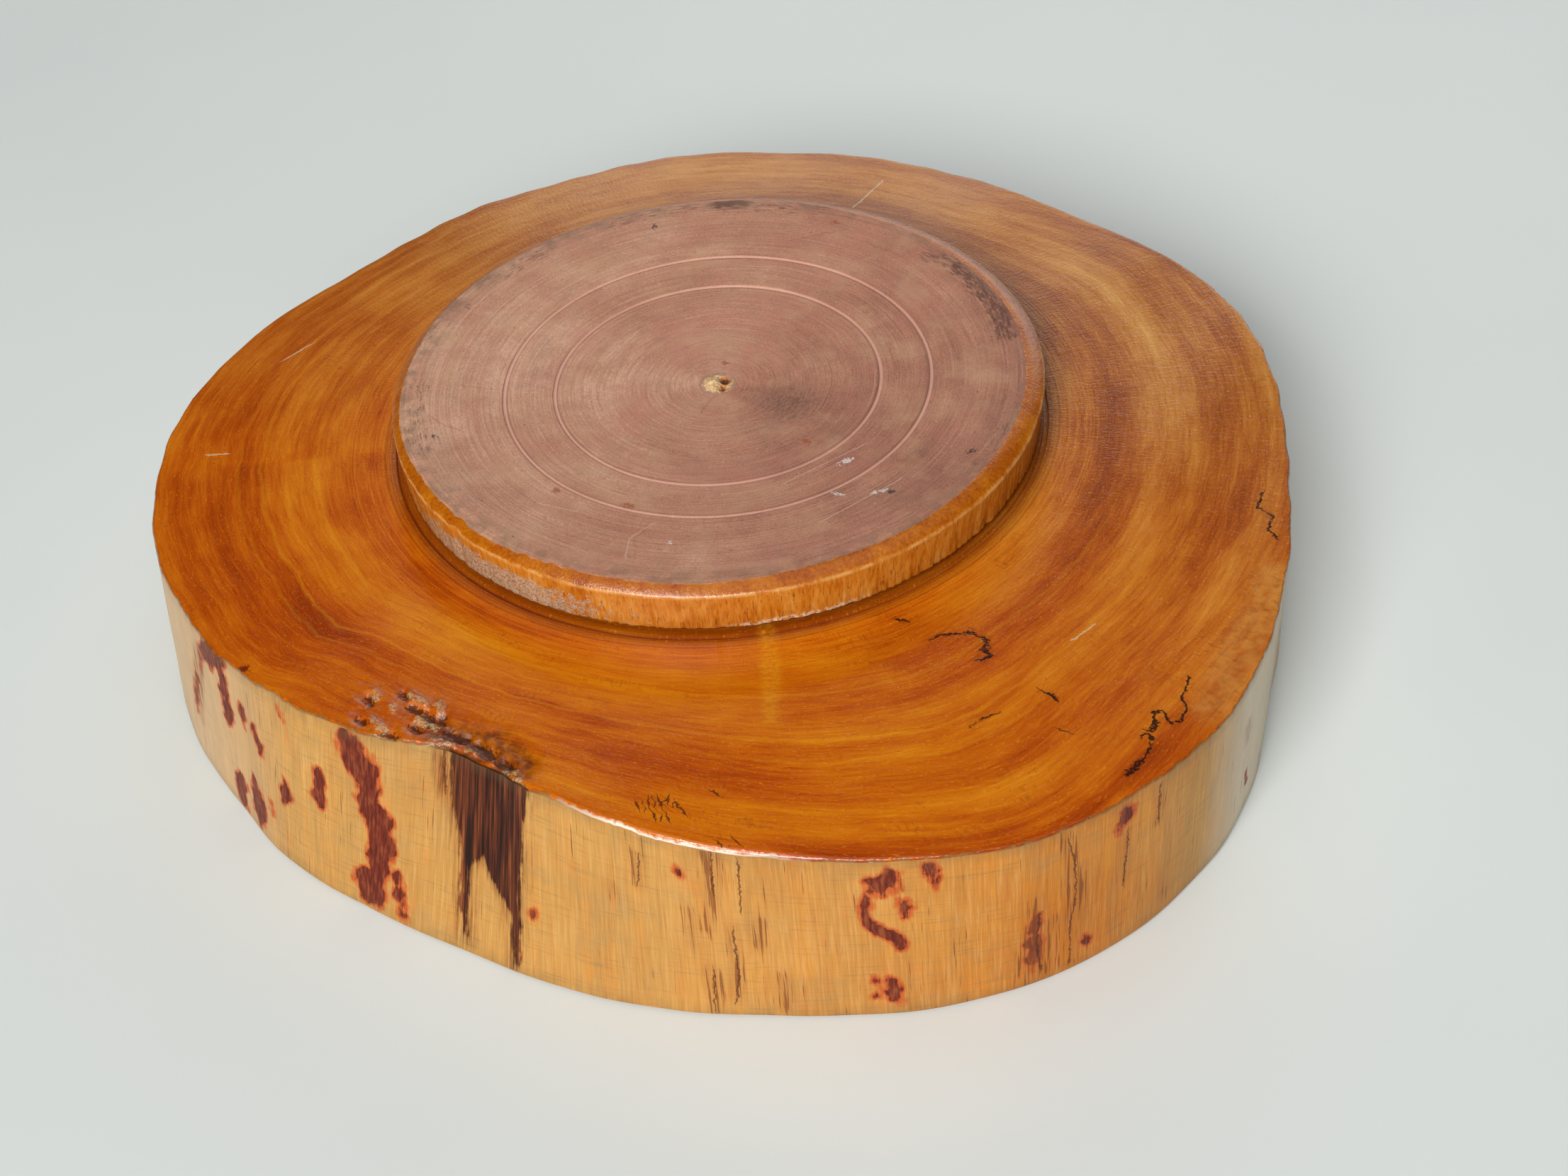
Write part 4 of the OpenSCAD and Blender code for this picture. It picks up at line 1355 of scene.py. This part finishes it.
def make_plain_wood(name, dark, light):
    """Bare sawn wood for what the varnish doesn't reach."""
    s = Shader(name, Roughness=0.7)
    saw = s.noise(1.2, s.stretched((1, 0.08, 1)), detail=3)
    ring = s.line_noise(s.mark("radius"), 0.5, 3)
    pore = s.noise(0.8, detail=2)
    tone = s.total((0.35, saw), (0.4, ring), (0.3, pore))
    s.colour(s.ramp(tone, [(0.36, dark), (0.66, light)]))
    s.bump(s.total((0.7, saw), (0.5, pore)), 0.12, 0.7)
    return s.material


def make_face_finish():
    """The serving face under the slice: waxed end grain, rings from the pith out."""
    s = Shader("serving_face", **VARNISH)
    wavy = s.plus(s.mark("radius"), s.times(s.noise(45), 16))
    broad = s.line_noise(wavy, 0.07, 3)
    narrow = s.line_noise(wavy, 0.4, 3)
    blotch = s.noise(30, detail=4)
    pore = s.noise(0.8, detail=1)
    tone = s.total((0.4, broad), (0.25, narrow), (0.3, blotch), (0.06, pore))
    s.shade = s.ramp(tone, SERVING_WOOD)
    s.tint(s.fade(pore, 0.66, 0.78, 0, 0.35), "6e3408")
    s.colour(s.shade)
    s.roughness(s.fade(blotch, 0.3, 0.7, 0.36, 0.5))
    s.bump(s.total((0.6, pore), (0.4, narrow)), 0.08, 0.6, coat=True)
    return s.material


def make_pith():
    """Torn pith: pale crumbly fibres, torn orange in the hole and painted shade at its bottom."""
    s = Shader("pith", Roughness=0.85)
    crumb = s.noise(0.9, detail=4, rough=0.7)
    s.shade = s.ramp(crumb, PITH_PALE)
    hole = s.plus(s.mark("torn_hole"), s.fade(crumb, 0.35, 0.65, -0.35, 0.35))
    s.tint(s.fade(hole, 0.1, 0.4, 0, 0.85), "b8641c")
    # Painted shade at the bottom of the hole.
    s.tint(s.fade(hole, 0.6, 1.0, 0, 0.95), "54230a")
    rim = s.plus(s.mark("rim_fade"), s.patches(1.5, 0.35, 0.65, -0.3, 0.3))
    s.tint(s.fade(rim, 0.25, 0.6, 0, 1), "b3846c")
    s.colour(s.shade)
    s.bump(crumb, 0.5, 0.9)
    return s.material


# ------------------------------------------------------------------ metal and plastic


def make_metal(name, dark, light, roughness, grain, brushed=(1, 1, 1)):
    """Metal with fine brushing, tarnish clouds and small scratches."""
    s = Shader(name, Metallic=1.0)
    brush = s.noise(grain, s.stretched(brushed), detail=3)
    cloud = s.noise(9, detail=4)
    tone = s.total((0.4, brush), (0.6, cloud))
    s.colour(s.ramp(tone, [(0.35, dark), (0.65, light)]))
    s.roughness(s.fade(cloud, 0.3, 0.7, roughness - 0.06, roughness + 0.08))
    s.bump(brush, 0.02, 0.6)
    return s.material


def make_nylon():
    """Milky nylon with faint mould clouding."""
    s = Shader("nylon", Subsurface_Weight=0.15, Subsurface_Scale=0.002)
    cloud = s.noise(5, detail=4)
    s.colour(s.ramp(cloud, [(0.35, "cfc9b8"), (0.65, "e6e1d2")]))
    s.roughness(s.fade(cloud, 0.3, 0.7, 0.35, 0.5))
    s.bump(s.noise(0.6, detail=2), 0.02, 0.5)
    return s.material


INNER_METALS = {
    "race_steel": ("9a9c9e", "c6c8c9", 0.3, 0.5, (1, 1, 0.2)),
    "ball_steel": ("b4b6b8", "dcdedf", 0.14, 0.4, (1, 1, 1)),
    "screw_steel": ("8e8f8c", "bdbcb4", 0.34, 0.3, (1, 1, 1)),
    "bolt_steel": ("2b2c2e", "45474a", 0.42, 0.3, (1, 1, 1)),
    "pivot_brass": ("9a7430", "c9a254", 0.3, 0.3, (1, 1, 0.3)),
}


def dress_inner_nodes():
    """The bearing, screws and pivot keep their CAD shapes and get their real finishes."""
    made = {name: make_metal(name, *facts) for name, facts in INNER_METALS.items()}
    made["cage_nylon"] = make_nylon()
    finish_by_start = [
        ("tray_race_screw", "screw_steel"), ("base_race_screw", "screw_steel"),
        ("tray_race", "race_steel"), ("base_race", "race_steel"), ("ball_cage", "cage_nylon"),
        ("ball_", "ball_steel"), ("pivot_bolt", "bolt_steel"), ("pivot_washer", "pivot_brass"),
        ("pivot_bushing", "pivot_brass"), ("pivot_insert", "pivot_brass"),
    ]
    for node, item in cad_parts.items():
        finish = next((f for start, f in finish_by_start if node.startswith(start)), None)
        if finish:
            item.data.materials.clear()
            item.data.materials.append(made[finish])


# ------------------------------------------------------------------ putting the object together


def paint_faces(piece, materials, chooser):
    """Gives each face the material whose number chooser returns for its mean values."""
    for material in materials:
        piece.data.materials.append(material)
    piece.data.polygons.foreach_set("material_index", chooser(piece.data))
    piece.data.update()


def face_means(mesh, name):
    """Mean of a stored number over each face."""
    values = np.zeros(len(mesh.vertices), np.float32)
    mesh.attributes[name].data.foreach_get("value", values)
    loops = np.zeros(len(mesh.loops), np.int32)
    mesh.loops.foreach_get("vertex_index", loops)
    starts = np.zeros(len(mesh.polygons), np.int32)
    mesh.polygons.foreach_get("loop_start", starts)
    sums = np.add.reduceat(values[loops], starts)
    return sums / np.diff(np.append(starts, len(loops)))


def tray_face_choice(mesh):
    """0 the varnished top, 1 the bare recess under the base disc, 2 the serving face, 3 the wall."""
    past = face_means(mesh, "past_edge")
    return np.select([past > 90, past < BARE_BELOW, past > 0], [2, 1, 3], 0).astype(np.int32)


def disc_face_choice(mesh):
    """0 the raw face, 1 the varnished bevel and side, 2 the bare gap side."""
    out = face_means(mesh, "out")
    bare = (out > GAP_BEGINS + 3) | (out < BARE_BELOW)
    return np.where(bare, 2, np.where(out > 0, 1, 0)).astype(np.int32)


def place(piece, body, node, slot):
    """The piece rides its body in place of a CAD node, which it hides. The slot is not used."""
    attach(piece, body)
    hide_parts(node)


bare_wood = make_plain_wood("bare_wood", "9a6c50", "c9a07c")
tray = make_tray()
tray_top = make_tray_wood("tray_top", 1.0, 0.17)
tray_wall = make_tray_wood("tray_wall", 0.4, 0.3)
paint_faces(tray, [tray_top, bare_wood, make_face_finish(), tray_wall], tray_face_choice)
place(tray, "tray", "tray", "tray_wood")

disc = make_disc()
paint_faces(disc, [make_raw_face(), make_varnished_side(), bare_wood], disc_face_choice)
place(disc, "base", "base_disc", "base_wood")

plug = make_plug()
plug.data.materials.append(make_pith())
place(plug, "base", "pivot_plug", "plug_wood")

dress_inner_nodes()

# ------------------------------------------------------------------ floor, light and camera


FLOOR_HALF = 6.0       # metres
FLOOR_HEIGHT = -0.0003  # just clear of the tray's face

# The lamps: name, place, aim, size in metres, watts, colour.
LAMPS = [
    ("key", (-1.7, -4.6, 3.5), (0, 0, 0), (3.0, 2.75), 410, (1, 0.995, 0.985)),
    ("overhead", (0.1, -0.1, 2.5), (0.1, -0.1, 0), (2.6, 2.4), 13, (0.96, 0.99, 1)),
    ("back_wall", (0.9, 2.5, 1.0), (0.9, 0, 1.0), (2.4, 1.45), 21, (1, 1, 1)),
    ("glint", (-0.9, -0.9, 2.03), (0, -0.1, 0.07), (0.25, 0.25), 12, (1, 1, 1)),
]
ROOM_COLOUR = (0.93, 0.97, 1.0, 1)
ROOM_STRENGTH = 0.025


def make_floor():
    """A pale matt sheet, large enough for every view."""
    mesh = bpy.data.meshes.new("floor")
    corners = [(-1, -1), (1, -1), (1, 1), (-1, 1)]
    mesh.from_pydata([(a * FLOOR_HALF, b * FLOOR_HALF, FLOOR_HEIGHT) for a, b in corners], [], [(0, 1, 2, 3)])
    floor = bpy.data.objects.new("floor", mesh)
    bpy.context.scene.collection.objects.link(floor)
    s = Shader("floor_sheet", Roughness=0.55)
    cloud = s.noise(300)
    s.colour(s.ramp(cloud, [(0.3, "dfe4e2"), (0.7, "e4e9e6")]))
    s.bump(s.noise(4), 0.05, 0.3)
    mesh.materials.append(s.material)


def area_light(name, place, aim, size, power, colour):
    """A soft rectangular lamp at place, facing aim."""
    data = bpy.data.lights.new(name, "AREA")
    data.shape = "RECTANGLE"
    data.size, data.size_y = size
    data.energy = power
    data.color = colour
    lamp = bpy.data.objects.new(name, data)
    lamp.location = place
    lamp.rotation_mode = "QUATERNION"
    lamp.rotation_quaternion = (Vector(aim) - Vector(place)).to_track_quat("-Z", "Y")
    bpy.context.scene.collection.objects.link(lamp)
    return lamp


def make_lights():
    """A large soft key from the left front, a low pale wall behind, even room light and a small glint."""
    world = bpy.data.worlds.new("room")
    world.use_nodes = True
    background = world.node_tree.nodes["Background"]
    background.inputs["Color"].default_value = ROOM_COLOUR
    background.inputs["Strength"].default_value = ROOM_STRENGTH
    bpy.context.scene.world = world
    lamps = [area_light(*facts) for facts in LAMPS]
    lamps[-1].visible_diffuse = False


# The camera, fitted to the photograph. Metres, degrees and mm of lens.
CAMERA_PLACE = Vector((0, -0.8434, 0.7193))
CAMERA_AIM = Vector((0.0161, -0.0549, 0.034))
CAMERA_ROLL = -4.85
CAMERA_LENS = 68.35


def make_camera():
    """The photograph's viewpoint: from the front, about 41 degrees down, slightly rolled."""
    data = bpy.data.cameras.new("camera")
    data.lens = CAMERA_LENS
    data.sensor_width = 36
    data.clip_start, data.clip_end = 0.01, 50
    camera = bpy.data.objects.new("camera", data)
    turn = (CAMERA_AIM - CAMERA_PLACE).to_track_quat("-Z", "Y")
    roll = Matrix.Rotation(math.radians(CAMERA_ROLL), 4, "Z")
    camera.matrix_world = Matrix.Translation(CAMERA_PLACE) @ turn.to_matrix().to_4x4() @ roll
    bpy.context.scene.collection.objects.link(camera)
    bpy.context.scene.camera = camera


make_floor()
make_lights()
make_camera()
bpy.context.scene.view_settings.view_transform = "Standard"
